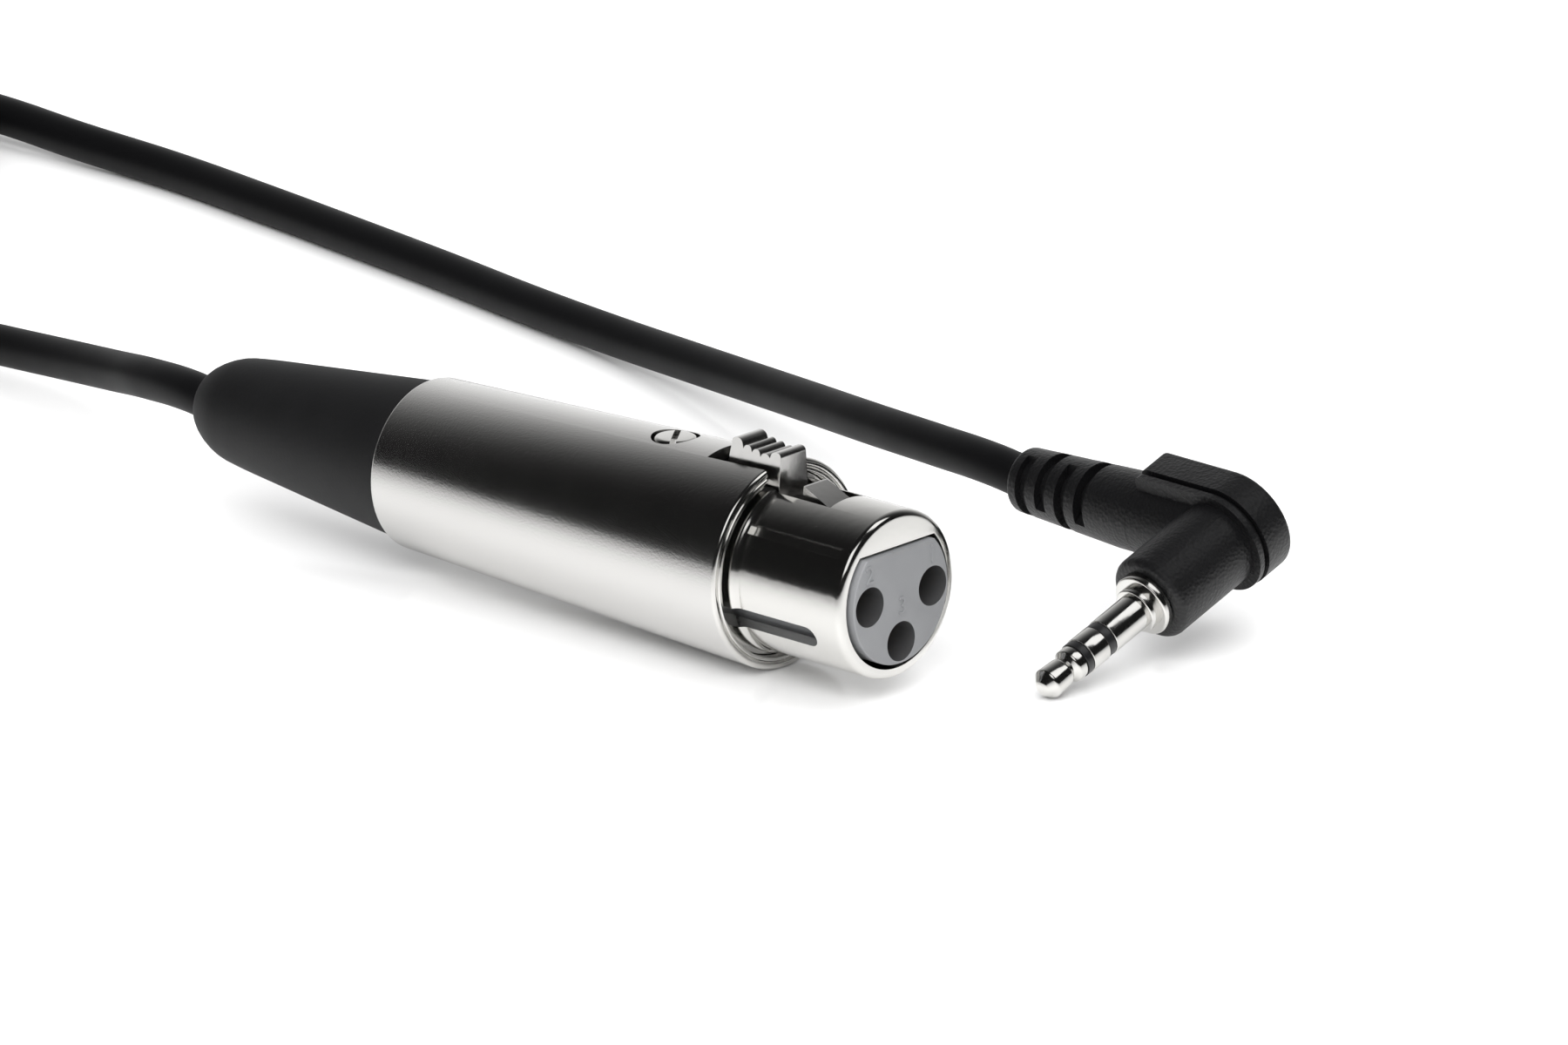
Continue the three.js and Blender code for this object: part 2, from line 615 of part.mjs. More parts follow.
const bootRun = [
  [-86, 0, 0], [-90, 0.6, 0.15], [-97, 2.5, -0.6], [-106, 6.3, -2.5], [-116, 9.5, -4.2],
  [-127, 11.3, -5.4], [-139, 11.6, -6.0], [-152, 11.0, -5.9], [-165, 10.2, -5.0],
  [-177, 9.6, -3.8], [-188.6, 9.3, -3.1],
];
const plugRun = [
  [-188.6, 71.7, -7.1], [-177, 71.2, -7.5], [-162, 70.6, -7.8], [-147, 68.5, -7.8],
  [-132.5, 66.2, -7.8], [-117, 63.6, -7.8], [-103, 60.8, -7.7], [-89, 57.9, -7.3],
  [-76, 54.5, -6.4], [-63, 50.1, -5.0], [-50.5, 44.9, -3.2], [-38.5, 39.9, -1.5],
  [-28, 36.4, -0.35],
];
plugGroup.updateMatrixWorld(true);
const plugExit = plugGroup.localToWorld(new THREE.Vector3(plug.reliefX, plug.reliefEnd - 0.05, 0));
const plugLead = plugGroup.localToWorld(
  new THREE.Vector3(plug.reliefX - plug.leadDrift, plug.reliefEnd - plug.leadLength, 0));
const plugRoute = [...plugRun, plugLead.toArray(), plugExit.toArray()];

function coilRing() {
  const low = layerLow - cable.radius;
  const high = layerHigh + cable.radius;
  const inside = coil.inner - cable.radius;
  const outside = coilOuter + cable.radius;
  const bevel = 1.2;
  const points = [
    [inside, low + bevel], [inside, high - bevel], [inside + bevel, high], [outside - bevel, high],
    [outside, high - bevel], [outside, low + bevel], [outside - bevel, low], [inside + bevel, low],
    [inside, low + bevel],
  ].map(([r, z]) => new THREE.Vector2(r, z));
  const ring = new THREE.LatheGeometry(points, round);
  return closedSkin(ring.rotateX(Math.PI / 2)).translate(coil.x, coil.y, 0);
}

// A flat strap once round both layers, on the side of the coil nearest the connectors.
function coilTie() {
  const { width, strap, clear, tabStart, tabLength } = tie;
  const low = layerLow - cable.radius - clear;
  const high = layerHigh + cable.radius + clear;
  const inside = coil.inner - cable.radius - clear;
  const outside = coilOuter + cable.radius + clear;
  const half = width / 2;
  // the ring's inner side curves away across the strap's width, so the strap starts further in
  const insideClear = Math.sqrt(inside ** 2 - half ** 2);
  const outer = solid(block(insideClear - strap, outside + strap, -half, half, low - strap, high + strap));
  const inner = solid(block(insideClear, outside, -half - 1, half + 1, low, high));
  const tabTop = high + strap * 2;
  const tab = block(outside - tabStart - tabLength, outside - tabStart, 0.5 - half, half - 0.5,
    high + strap - fit, tabTop);
  return skinOf(outer.subtract(inner).add(solid(tab))).translate(coil.x, coil.y, 0);
}

place('cable_boot_run', rodAlong(bootRun, cable.radius, 14, 10), blackPvc);
place('cable_coil', coilRing(), blackPvc);
place('cable_plug_run', rodAlong(plugRoute, cable.radius, 24, 10), blackPvc);
place('coil_tie', coilTie(), tieFabric);

export default group;
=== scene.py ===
import math

import bmesh
import bpy
from mathutils import Matrix, Vector


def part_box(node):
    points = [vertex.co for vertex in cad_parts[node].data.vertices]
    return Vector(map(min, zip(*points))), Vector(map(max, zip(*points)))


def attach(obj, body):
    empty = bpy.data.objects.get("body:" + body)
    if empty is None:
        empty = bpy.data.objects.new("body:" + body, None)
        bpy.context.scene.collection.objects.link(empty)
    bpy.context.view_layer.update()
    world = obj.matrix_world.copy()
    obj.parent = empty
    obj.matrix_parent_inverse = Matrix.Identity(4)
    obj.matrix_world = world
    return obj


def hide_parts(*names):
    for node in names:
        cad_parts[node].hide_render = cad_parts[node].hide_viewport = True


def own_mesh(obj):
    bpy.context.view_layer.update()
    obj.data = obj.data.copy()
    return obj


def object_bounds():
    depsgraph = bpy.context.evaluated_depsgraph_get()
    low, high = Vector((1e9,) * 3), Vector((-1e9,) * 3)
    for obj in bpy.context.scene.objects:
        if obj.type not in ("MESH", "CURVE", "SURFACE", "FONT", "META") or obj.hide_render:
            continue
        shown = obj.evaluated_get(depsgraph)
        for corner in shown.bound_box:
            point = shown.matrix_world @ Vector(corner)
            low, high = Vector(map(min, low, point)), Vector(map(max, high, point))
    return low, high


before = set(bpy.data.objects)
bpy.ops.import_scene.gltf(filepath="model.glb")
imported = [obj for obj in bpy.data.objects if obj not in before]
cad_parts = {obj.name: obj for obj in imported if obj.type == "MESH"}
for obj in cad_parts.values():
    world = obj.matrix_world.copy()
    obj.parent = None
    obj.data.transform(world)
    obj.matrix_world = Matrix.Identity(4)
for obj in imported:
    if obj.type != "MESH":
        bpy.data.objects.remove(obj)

cad_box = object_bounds()

# ------------------------------------------------------------------------------- the camera
# A long lens well back from the lead and a little above the surface, so that the round pieces
# keep nearly the same width along their length.

camera_place = Vector((0.68715, -0.77138, 0.34230))
looked_at = Vector((-0.03517, 0.02313, -0.00629))
lens = bpy.data.cameras.new("camera")
lens.lens = 280
lens.sensor_width = 36
lens.clip_start = 0.05
lens.clip_end = 20
camera = bpy.data.objects.new("camera", lens)
camera.location = camera_place
camera.rotation_euler = (looked_at - camera_place).to_track_quat("-Z", "Y").to_euler()
bpy.context.scene.collection.objects.link(camera)
bpy.context.scene.camera = camera
bpy.context.scene.view_settings.view_transform = "Standard"

# ------------------------------------------------------------------------- surface and light
# A sheet of white gloss acrylic under a wide overhead softbox, with a fill and two small
# windows in front of it, in a dim room. The sheet lights the undersides, and the metal's sides
# show the room. Pieces are sized in millimetres, and the scene is in metres.

mm = 0.001
floor_z = cad_box[0][2]
half_sheet = 1.6
clouds_each_metre = 6.0


def linear(hex_colour):
    """An sRGB hex colour as the linear red, green, blue and alpha that a shader takes."""
    channels = [int(hex_colour[i:i + 2], 16) / 255 for i in (1, 3, 5)]
    return (*[c / 12.92 if c <= 0.04045 else ((c + 0.055) / 1.055) ** 2.4 for c in channels], 1)


def add_node(material, kind, settings=None, links=None, **attributes):
    """Adds one shader node, with its attributes, its socket values and its incoming links."""
    node = material.node_tree.nodes.new(kind)
    for name, value in attributes.items():
        setattr(node, name, value)
    for socket, value in (settings or {}).items():
        node.inputs[socket].default_value = value
    for socket, source in (links or {}).items():
        material.node_tree.links.new(source, node.inputs[socket])
    return node


def start_material(name):
    """An empty node material and the coordinates of the piece it is on, in metres."""
    material = bpy.data.materials.new(name)
    material.use_nodes = True
    material.node_tree.nodes.clear()
    return material, add_node(material, "ShaderNodeTexCoord").outputs["Object"]


def end_material(material, settings, links=None):
    """Gives a material its surface shader, and the output that shows it."""
    shader = add_node(material, "ShaderNodeBsdfPrincipled", settings, links)
    add_node(material, "ShaderNodeOutputMaterial", links={"Surface": shader.outputs["BSDF"]})
    return material


# White gloss acrylic: an even white that is faintly cloudy, with a soft mirror on it.
gloss_acrylic, at = start_material("white_gloss_acrylic")
cloud = add_node(gloss_acrylic, "ShaderNodeTexNoise", {"Scale": clouds_each_metre, "Detail": 2.0},
                 {"Vector": at})
polish = add_node(gloss_acrylic, "ShaderNodeMapRange", {"To Min": 0.10, "To Max": 0.16},
                  {"Value": cloud.outputs["Fac"]})
end_material(gloss_acrylic, {"Base Color": linear("#f7f7f7"), "IOR": 1.49},
             {"Roughness": polish.outputs["Result"]})

bm = bmesh.new()
bmesh.ops.create_grid(bm, x_segments=1, y_segments=1, size=half_sheet)
bmesh.ops.translate(bm, vec=(0, 0, floor_z), verts=bm.verts)
mesh = bpy.data.meshes.new("surface")
bm.to_mesh(mesh)
bm.free()
mesh.materials.append(gloss_acrylic)
surface = bpy.data.objects.new("surface", mesh)
bpy.context.scene.collection.objects.link(surface)


def softbox(name, place, aim, size, power, in_gloss=True):
    """A rectangular light at a place, turned to face a point, that gloss may or may not show."""
    light = bpy.data.lights.new(name, "AREA")
    light.shape = "RECTANGLE"
    light.size, light.size_y = size
    light.energy = power
    lamp = bpy.data.objects.new(name, light)
    lamp.location = place
    lamp.rotation_euler = (Vector(aim) - Vector(place)).to_track_quat("-Z", "Y").to_euler()
    lamp.visible_glossy = in_gloss
    bpy.context.scene.collection.objects.link(lamp)


softbox("overhead", (-0.15, 0.15, 1.2), (-0.05, 0.05, 0), size=(3.0, 3.0), power=43.0, in_gloss=False)
softbox("front_fill", (0.55, -0.95, 0.75), (0, 0, 0), size=(1.6, 1.0), power=22.0, in_gloss=False)
softbox("front_window", (0.62, -0.72, 0.89), (0, 0, 0), size=(0.8, 0.8), power=2.6)
softbox("side_strip", (0.55, 0.40, 1.10), (0.01, 0.01, 0), size=(0.45, 0.9), power=1.8)

# The wall beyond the sheet is bright and the rest of the room is dark, so the metal shows the
# bright wall on its upper side and the dark room on the side that faces the camera.
wall_heading = (-0.67, 0.74, 0.0)
wall_falloff = 3.0
wall_light = 1.05
room_light = 0.012
room = bpy.data.worlds.new("dim_room")
room.use_nodes = True
backdrop = room.node_tree.nodes["Background"]
heading = add_node(room, "ShaderNodeTexCoord").outputs["Generated"]
towards_wall = add_node(room, "ShaderNodeVectorMath", {1: wall_heading}, {0: heading},
                        operation="DOT_PRODUCT")
ahead = add_node(room, "ShaderNodeMath", {1: 0.0}, {0: towards_wall.outputs["Value"]},
                 operation="MAXIMUM")
fall = add_node(room, "ShaderNodeMath", {1: wall_falloff}, {0: ahead.outputs["Value"]},
                operation="POWER")
wall = add_node(room, "ShaderNodeMath", {1: wall_light, 2: room_light}, {0: fall.outputs["Value"]},
                operation="MULTIPLY_ADD")
room.node_tree.links.new(wall.outputs["Value"], backdrop.inputs["Strength"])
backdrop.inputs["Color"].default_value = linear("#ffffff")
bpy.context.scene.world = room

# -------------------------------------------------------------------------- cable and its tie
# One round cable, 4 mm in satin black PVC, runs from the boot to the plug. The spare length is
# wound in two flat layers, in on top and out underneath, and a fabric strap holds the turns.

cable_radius = 2.0 * mm
boot_run = [
    (-86, 0, 0), (-90, 0.6, 0.15), (-97, 2.5, -0.6), (-106, 6.3, -2.5), (-116, 9.5, -4.2),
    (-127, 11.3, -5.4), (-139, 11.6, -6.0), (-152, 11.0, -5.9), (-165, 10.2, -5.0),
    (-177, 9.6, -3.8), (-188.6, 9.3, -3.1),
]
plug_run = [
    (-188.6, 71.7, -7.1), (-177, 71.2, -7.5), (-162, 70.6, -7.8), (-147, 68.5, -7.8),
    (-132.5, 66.2, -7.8), (-117, 63.6, -7.8), (-103, 60.8, -7.7), (-89, 57.9, -7.3),
    (-76, 54.5, -6.4), (-63, 50.1, -5.0), (-50.5, 44.9, -3.2), (-38.5, 39.9, -1.5),
    (-28, 36.4, -0.35), (-18.785, 34.131, 0.213), (-14.354, 33.434, 0.013),
]
coil_middle = Vector((-206, 40.5, 0)) * mm
inner_turn = 16.0 * mm
turn_pitch = 4.05 * mm
inward_swing = 2.2 * mm
turns_each_layer = 3.75
points_each_turn = 16
layer_low = floor_z + 0.8 * mm + cable_radius
layer_high = layer_low + turn_pitch

# Satin black PVC: extruded smooth, with the faint ripple that the cores give the jacket.
black_pvc, at = start_material("satin_black_pvc")
skin_size, core_ripple = 0.4 * mm, 6.0 * mm
skin = add_node(black_pvc, "ShaderNodeTexNoise", {"Scale": 1 / skin_size, "Detail": 3.0}, {"Vector": at})
ripple = add_node(black_pvc, "ShaderNodeTexNoise", {"Scale": 1 / core_ripple, "Detail": 1.0},
                  {"Vector": at})
shade = add_node(black_pvc, "ShaderNodeMapRange", {"To Min": 0.42, "To Max": 0.54},
                 {"Value": ripple.outputs["Fac"]})
fine = add_node(black_pvc, "ShaderNodeBump", {"Strength": 0.12, "Distance": 0.04 * mm},
                {"Height": skin.outputs["Fac"]})
relief = add_node(black_pvc, "ShaderNodeBump", {"Strength": 0.2, "Distance": 0.2 * mm},
                  {"Height": ripple.outputs["Fac"], "Normal": fine.outputs["Normal"]})
end_material(black_pvc, {"Base Color": linear("#0b0b0c"), "IOR": 1.5, "Specular IOR Level": 0.1},
             {"Roughness": shade.outputs["Result"], "Normal": relief.outputs["Normal"]})


def coil_point(turned, radius, height):
    """A point of the coil, clockwise by a number of turns from its near side."""
    angle = -math.pi / 2 - 2 * math.pi * turned
    return coil_middle + Vector((radius * math.cos(angle), radius * math.sin(angle), height))


route = [Vector(point) * mm for point in boot_run]
layer_points = int(turns_each_layer * points_each_turn)
for i in range(layer_points):
    done = i / points_each_turn
    route.append(coil_point(done, inner_turn + turn_pitch * (turns_each_layer - done), layer_high))
for i in range(points_each_turn):
    done = i / points_each_turn
    sunk = done * done * (3 - 2 * done)
    radius = inner_turn - inward_swing * math.sin(math.pi * done)
    route.append(coil_point(turns_each_layer + done, radius, layer_high - turn_pitch * sunk))
for i in range(layer_points + 1):
    done = i / points_each_turn
    route.append(coil_point(turns_each_layer + 1 + done, inner_turn + turn_pitch * done, layer_low))
route += [Vector(point) * mm for point in plug_run]

cable_curve = bpy.data.curves.new("cable", "CURVE")
cable_curve.dimensions = "3D"
cable_curve.bevel_depth = cable_radius
cable_curve.bevel_resolution = 12
cable_curve.use_fill_caps = True
cable_curve.resolution_u = 8
spline = cable_curve.splines.new("BEZIER")
spline.bezier_points.add(len(route) - 1)
for knot, place in zip(spline.bezier_points, route):
    knot.co = place
    knot.handle_left_type = "AUTO"
    knot.handle_right_type = "AUTO"
cable_curve.materials.append(black_pvc)
cable = bpy.data.objects.new("cable", cable_curve)
bpy.context.scene.collection.objects.link(cable)
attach(cable, "lead")
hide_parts("cable_boot_run", "cable_coil", "cable_plug_run")

# Woven hook-and-loop tape: nylon threads at right angles, with a dull fuzzy loop side. The
# wave node spaces its bands 2 pi times wider than the thread, which is coarse enough to show.
tie_tape, at = start_material("woven_nylon_tape")
thread = 0.5 * mm
warp = add_node(tie_tape, "ShaderNodeTexWave", {"Scale": 1 / (thread * 20), "Distortion": 0.4},
                {"Vector": at}, bands_direction="X")
weft = add_node(tie_tape, "ShaderNodeTexWave", {"Scale": 1 / (thread * 20), "Distortion": 0.4},
                {"Vector": at}, bands_direction="Y")
weave = add_node(tie_tape, "ShaderNodeMath", {}, {0: warp.outputs["Fac"], 1: weft.outputs["Fac"]},
                 operation="MULTIPLY")
tint = add_node(tie_tape, "ShaderNodeMixRGB", {1: linear("#1a1a1c"), 2: linear("#313135")},
                {0: weave.outputs["Value"]})
lift = add_node(tie_tape, "ShaderNodeBump", {"Strength": 0.6, "Distance": 0.1 * mm},
                {"Height": weave.outputs["Value"]})
end_material(tie_tape, {"Roughness": 0.88, "Sheen Weight": 0.3},
             {"Base Color": tint.outputs["Color"], "Normal": lift.outputs["Normal"]})


def finish_piece(bm, name, material, slot, *nodes, body="lead", place=None):
    """Makes a bmesh, in millimetres, a shaded piece in its place that stands for CAD nodes."""
    bmesh.ops.remove_doubles(bm, verts=bm.verts, dist=1e-5)
    bmesh.ops.recalc_face_normals(bm, faces=bm.faces)
    if place:
        bmesh.ops.transform(bm, matrix=place, verts=bm.verts)
    bmesh.ops.scale(bm, vec=(mm, mm, mm), verts=bm.verts)
    mesh = bpy.data.meshes.new(name)
    bm.to_mesh(mesh)
    bm.free()
    mesh.shade_smooth()
    mesh.set_sharp_from_angle(angle=math.radians(32))
    mesh.materials.append(material)
    piece = bpy.data.objects.new(name, mesh)
    bpy.context.scene.collection.objects.link(piece)
    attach(piece, body)
    if nodes:
        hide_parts(*nodes)
    return piece


def soften(piece, width, segments=2, angle=40):
    """Rounds a finished piece's hard edges to a width in millimetres."""
    bevel = piece.modifiers.new("edges", "BEVEL")
    bevel.width = width * mm
    bevel.segments = segments
    bevel.limit_method = "ANGLE"
    bevel.angle_limit = math.radians(angle)
    bevel.harden_normals = True


def round_off(bm, geom, width, segments=5, affect="EDGES"):
    """Rounds some of a bmesh's edges or vertices to a width in millimetres."""
    bmesh.ops.bevel(bm, geom=geom, offset=width, offset_type="OFFSET", segments=segments, profile=0.5,
                    affect=affect, material=-1, clamp_overlap=True)


def block(low, high):
    """A box between two corners."""
    bm = bmesh.new()
    bmesh.ops.create_cube(bm, size=1)
    low, high = Vector(low), Vector(high)
    bmesh.ops.scale(bm, vec=high - low, verts=bm.verts)
    bmesh.ops.translate(bm, vec=(low + high) / 2, verts=bm.verts)
    return bm


tie_low, tie_high = [Vector(corner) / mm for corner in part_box("coil_tie")]
strap_thickness = 0.5
strap_fold = 1.1
tab_room = 0.5
tab_length, tab_width, tab_thickness = 9, 6, 0.45
tab_reach = 3.5
bm = block(tie_low, tie_high - Vector((0, 0, tab_room)))
# the strap goes round, so the two ends across its width are opened
open_ends = [face for face in bm.faces if abs(face.normal.y) > 0.9]
bmesh.ops.delete(bm, geom=open_ends, context="FACES_ONLY")
wrap = [edge for edge in bm.edges if abs(edge.verts[0].co.y - edge.verts[1].co.y) > 1]
round_off(bm, wrap, strap_fold)
bmesh.ops.recalc_face_normals(bm, faces=bm.faces)
bmesh.ops.solidify(bm, geom=bm.faces[:], thickness=strap_thickness)
tab = bmesh.ops.create_cube(bm, size=1)["verts"]
bmesh.ops.scale(bm, vec=(tab_length, tab_width, tab_thickness), verts=tab)
tab_middle = (tie_high.x - tab_length / 2 - tab_reach, coil_middle.y / mm,
              tie_high.z - tab_thickness / 2)
bmesh.ops.translate(bm, vec=tab_middle, verts=tab)
tie = finish_piece(bm, "coil_tie_strap", tie_tape, "tie_fabric", "coil_tie")
soften(tie, 0.12, angle=32)

# ------------------------------------------------------------------------------ handle shell
# The handle is a zinc tube, drawn in a little towards the cable, bead blasted and then nickel
# plated. Its front edge is turned bright, and it is cut for the latch and for the screw.

lip_x = -13.8
handle_length = 44.4
lip_radius = 9.8
rear_radius = 8.15
handle_wall = 1.2
rear_x = lip_x - handle_length
seat_front = lip_radius - handle_wall
seat_rear = rear_radius - handle_wall
latch_width = 4.0
slot_half = latch_width / 2 + 0.6
slot_rear = -21.1
screw_x = -27.4
screw_head = 2.0
screw_gap = 0.25
beyond = 12.0  # how far a cutter reaches, which is past every shell

# Bead-blasted nickel plate: a fine even grain that spreads each reflection into a soft band. The
# beads' marks, about a tenth of a millimetre, are drawn twice as coarse so that they show.
satin_nickel, at = start_material("bead_blasted_nickel_plate")
bead_mark, plating_patch = 0.22 * mm, 4.0 * mm
grit = add_node(satin_nickel, "ShaderNodeTexNoise",
                {"Scale": 1 / bead_mark, "Detail": 2.0, "Roughness": 0.6}, {"Vector": at})
patch = add_node(satin_nickel, "ShaderNodeTexNoise", {"Scale": 1 / plating_patch, "Detail": 2.0},
                 {"Vector": at})
satin = add_node(satin_nickel, "ShaderNodeMapRange", {"To Min": 0.18, "To Max": 0.23},
                 {"Value": patch.outputs["Fac"]})
blasted = add_node(satin_nickel, "ShaderNodeBump", {"Strength": 0.35, "Distance": 0.03 * mm},
                   {"Height": grit.outputs["Fac"]})
end_material(satin_nickel, {"Base Color": linear("#cdccca"), "Metallic": 1.0},
             {"Roughness": satin.outputs["Result"], "Normal": blasted.outputs["Normal"]})

# Bright nickel plate: a polished casting, nearly a mirror, with the slight waver of the casting.
bright_nickel, at = start_material("bright_nickel_plate")
casting_wave, handling_mark = 1.6 * mm, 0.5 * mm
waver = add_node(bright_nickel, "ShaderNodeTexNoise", {"Scale": 1 / casting_wave, "Detail": 2.0},
                 {"Vector": at})
film = add_node(bright_nickel, "ShaderNodeTexNoise", {"Scale": 1 / handling_mark, "Detail": 3.0},
                {"Vector": at})
gleam = add_node(bright_nickel, "ShaderNodeMapRange", {"To Min": 0.09, "To Max": 0.17},
                 {"Value": film.outputs["Fac"]})
cast = add_node(bright_nickel, "ShaderNodeBump", {"Strength": 0.22, "Distance": 0.06 * mm},
                {"Height": waver.outputs["Fac"]})
end_material(bright_nickel, {"Base Color": linear("#d3d2cf"), "Metallic": 1.0},
             {"Roughness": gleam.outputs["Result"], "Normal": cast.outputs["Normal"]})


def spun(profile, sides=160):
    """Spins a profile of (along, radius, rounding) corners round the X axis, as a closed skin."""
    bm = bmesh.new()
    corners = [bm.verts.new((along, 0, radius)) for along, radius, _ in profile]
    for first, second in zip(corners, corners[1:]):
        bm.edges.new((first, second))
    if profile[0][1] > 0:
        bm.edges.new((corners[-1], corners[0]))
    for corner, (_, _, rounding) in zip(corners, profile):
        if rounding:
            round_off(bm, [corner], rounding, affect="VERTICES")
    bmesh.ops.spin(bm, geom=bm.verts[:] + bm.edges[:], cent=(0, 0, 0), axis=(1, 0, 0), dvec=(0, 0, 0),
                   angle=2 * math.pi, steps=sides, use_merge=True, use_duplicate=False)
    bmesh.ops.remove_doubles(bm, verts=bm.verts, dist=1e-5)
    bmesh.ops.recalc_face_normals(bm, faces=bm.faces)
    return bm


def rod(start, end, radius, sides=48):
    """A cylinder from one point to another."""
    bm = bmesh.new()
    start, end = Vector(start), Vector(end)
    bmesh.ops.create_cone(bm, cap_ends=True, segments=sides, radius1=radius, radius2=radius,
                          depth=(end - start).length)
    turn = (end - start).to_track_quat("Z", "Y").to_matrix().to_4x4()
    bmesh.ops.transform(bm, matrix=Matrix.Translation((start + end) / 2) @ turn, verts=bm.verts)
    return bm


def combined(bm, others, operation="DIFFERENCE"):
    """Cuts other bmeshes out of one, or joins them to it, and gives the result."""
    workpieces = []
    for shape in (bm, *others):
        mesh = bpy.data.meshes.new("workpiece")
        shape.to_mesh(mesh)
        shape.free()
        workpieces.append(bpy.data.objects.new("workpiece", mesh))
        bpy.context.scene.collection.objects.link(workpieces[-1])
    base, *tools = workpieces
    for tool in tools:
        step = base.modifiers.new("step", "BOOLEAN")
        step.operation = operation
        step.solver = "EXACT"
        step.object = tool
    result = bmesh.new()
    result.from_object(base, bpy.context.evaluated_depsgraph_get())
    for workpiece in workpieces:
        bpy.data.objects.remove(workpiece)
    return result


groove_radius, groove_half, groove_sink = lip_radius - 0.75, 0.13, 0.2
bm = spun([
    (lip_x, seat_front, 0.12), (lip_x, groove_radius - groove_half, 0.05),
    (lip_x - groove_sink, groove_radius, 0.04), (lip_x, groove_radius + groove_half, 0.08),
    (lip_x, lip_radius, 0.42), (rear_x, rear_radius, 0.35), (rear_x, seat_rear, 0.1),
], sides=224)
bm = combined(bm, [
    block((slot_rear, -slot_half, 5), (lip_x + 1, slot_half, beyond)),
    rod((screw_x, 0, 4), (screw_x, 0, beyond), screw_head + screw_gap, sides=96),
])
handle = finish_piece(bm, "handle", satin_nickel, "satin_nickel", "handle_shell")
handle.data.materials.append(bright_nickel)
for polygon in handle.data.polygons:
    polygon.material_index = int(polygon.center.x / mm > lip_x - 0.3)
soften(handle, 0.1)

# -------------------------------------------------------------------------------- nose shell
# The nose that enters the other connector is a zinc casting, polished and nickel plated. It
# seats in the handle with a small shoulder. A window lets the latch through, a keyway slot goes
# through its wall and three shallow grooves run along it.

nose_radius = 7.8
rim_x = -0.5
rim_round = 0.65
nose_bore = 6.8
nose_rear = lip_x - 6.7
shoulder_x = lip_x + 1.0
front_wall = 2.5
chord_z = 4.45
window_half = latch_width / 2 + 0.25
window_front = -6.5
seat_gap = 0.12
keyway_width, keyway_depth, keyway_front, keyway_angle = 2.15, 1.6, -4.8, -156.5
groove_width, groove_depth, groove_front, groove_angles = 1.0, 0.38, -2.0, (40, 140, -112)


def nose_cutter(start, end, width, depth, angle, round_end=False):
    """A straight cutter along the nose, at an angle round it."""
    inner = nose_radius - depth
    cutter = block((start, inner, -width / 2), (end, nose_radius + 2, width / 2))
    if round_end:
        cutter = combined(cutter, [rod((end, inner, 0), (end, nose_radius + 2, 0), width / 2)], "UNION")
    bmesh.ops.rotate(cutter, cent=(0, 0, 0), matrix=Matrix.Rotation(math.radians(angle), 3, "X"),
                     verts=cutter.verts)
    return cutter


bm = spun([
    (nose_rear, 0, 0), (nose_rear, seat_front - 0.3, 0), (lip_x - 0.9, seat_front - seat_gap, 0),
    (lip_x - 0.9, nose_radius + 0.3, 0), (lip_x + 0.45, nose_radius + 0.3, 0.15),
    (shoulder_x, nose_radius, 0.35), (rim_x, nose_radius, rim_round), (rim_x, 0, 0),
], sides=224)
mouth = combined(
    rod((-front_wall - 0.1, 0, 0), (rim_x + 2, 0, 0), nose_bore, sides=160),
    [block((-front_wall - 1, -beyond, chord_z + 0.2), (rim_x + 3, beyond, beyond))])
bm = combined(bm, [
    rod((nose_rear - 1, 0, 0), (-front_wall, 0, 0), nose_bore, sides=160), mouth,
    block((nose_rear - 1, -window_half, 3), (window_front, window_half, beyond)),
    nose_cutter(lip_x - 1, keyway_front, keyway_width, keyway_depth, keyway_angle, round_end=True),
    *[nose_cutter(shoulder_x, groove_front, groove_width, groove_depth, angle) for angle in groove_angles],
])
nose = finish_piece(bm, "nose", bright_nickel, "polished_nickel", "nose_shell")
soften(nose, 0.09)

# --------------------------------------------------------------------------- contact insert
# The insert is one moulding in grey glass-filled nylon that holds the three contacts, stands
# a little proud of the nose, and carries their numbers on its face.

insert_radius = 6.3
contact_circle = 4.2
contact_radius = 1.75
block_front = nose_rear - 0.3
block_rear = block_front - 9.7
block_radius = 7.6
contact_places = {"1": (contact_circle, 0), "2": (-contact_circle, 0), "3": (0, -contact_circle)}
number_places = {"1": (4.1, 3.0), "2": (-4.25, 2.9), "3": (0.1, -0.95)}
number_size = 2.415
number_rise = 0.09
number_base = 0.03
pivot_x, pivot_z, pin_radius = -22.6, 5.6, 0.75
spring_x, spring_floor, spring_pocket = -16, 2.4, 1.6
arm_bed, screw_seat = 3.6, 3.1


def glass_filled_nylon(name, first, second):
    """Moulded glass-filled nylon: dull, with a very fine spark-eroded texture."""
    material, at = start_material(name)
    spark_pit, fibre_cloud = 0.25 * mm, 3.0 * mm
    spark = add_node(material, "ShaderNodeTexNoise", {"Scale": 1 / spark_pit, "Detail": 3.0},
                     {"Vector": at})
    cloudy = add_node(material, "ShaderNodeTexNoise", {"Scale": 1 / fibre_cloud, "Detail": 2.0},
                      {"Vector": at})
    grey = add_node(material, "ShaderNodeMixRGB", {1: linear(first), 2: linear(second)},
                    {0: cloudy.outputs["Fac"]})
    moulded = add_node(material, "ShaderNodeBump", {"Strength": 0.3, "Distance": 0.03 * mm},
                       {"Height": spark.outputs["Fac"]})
    return end_material(material, {"Roughness": 0.55, "IOR": 1.53},
                        {"Base Color": grey.outputs["Color"], "Normal": moulded.outputs["Normal"]})


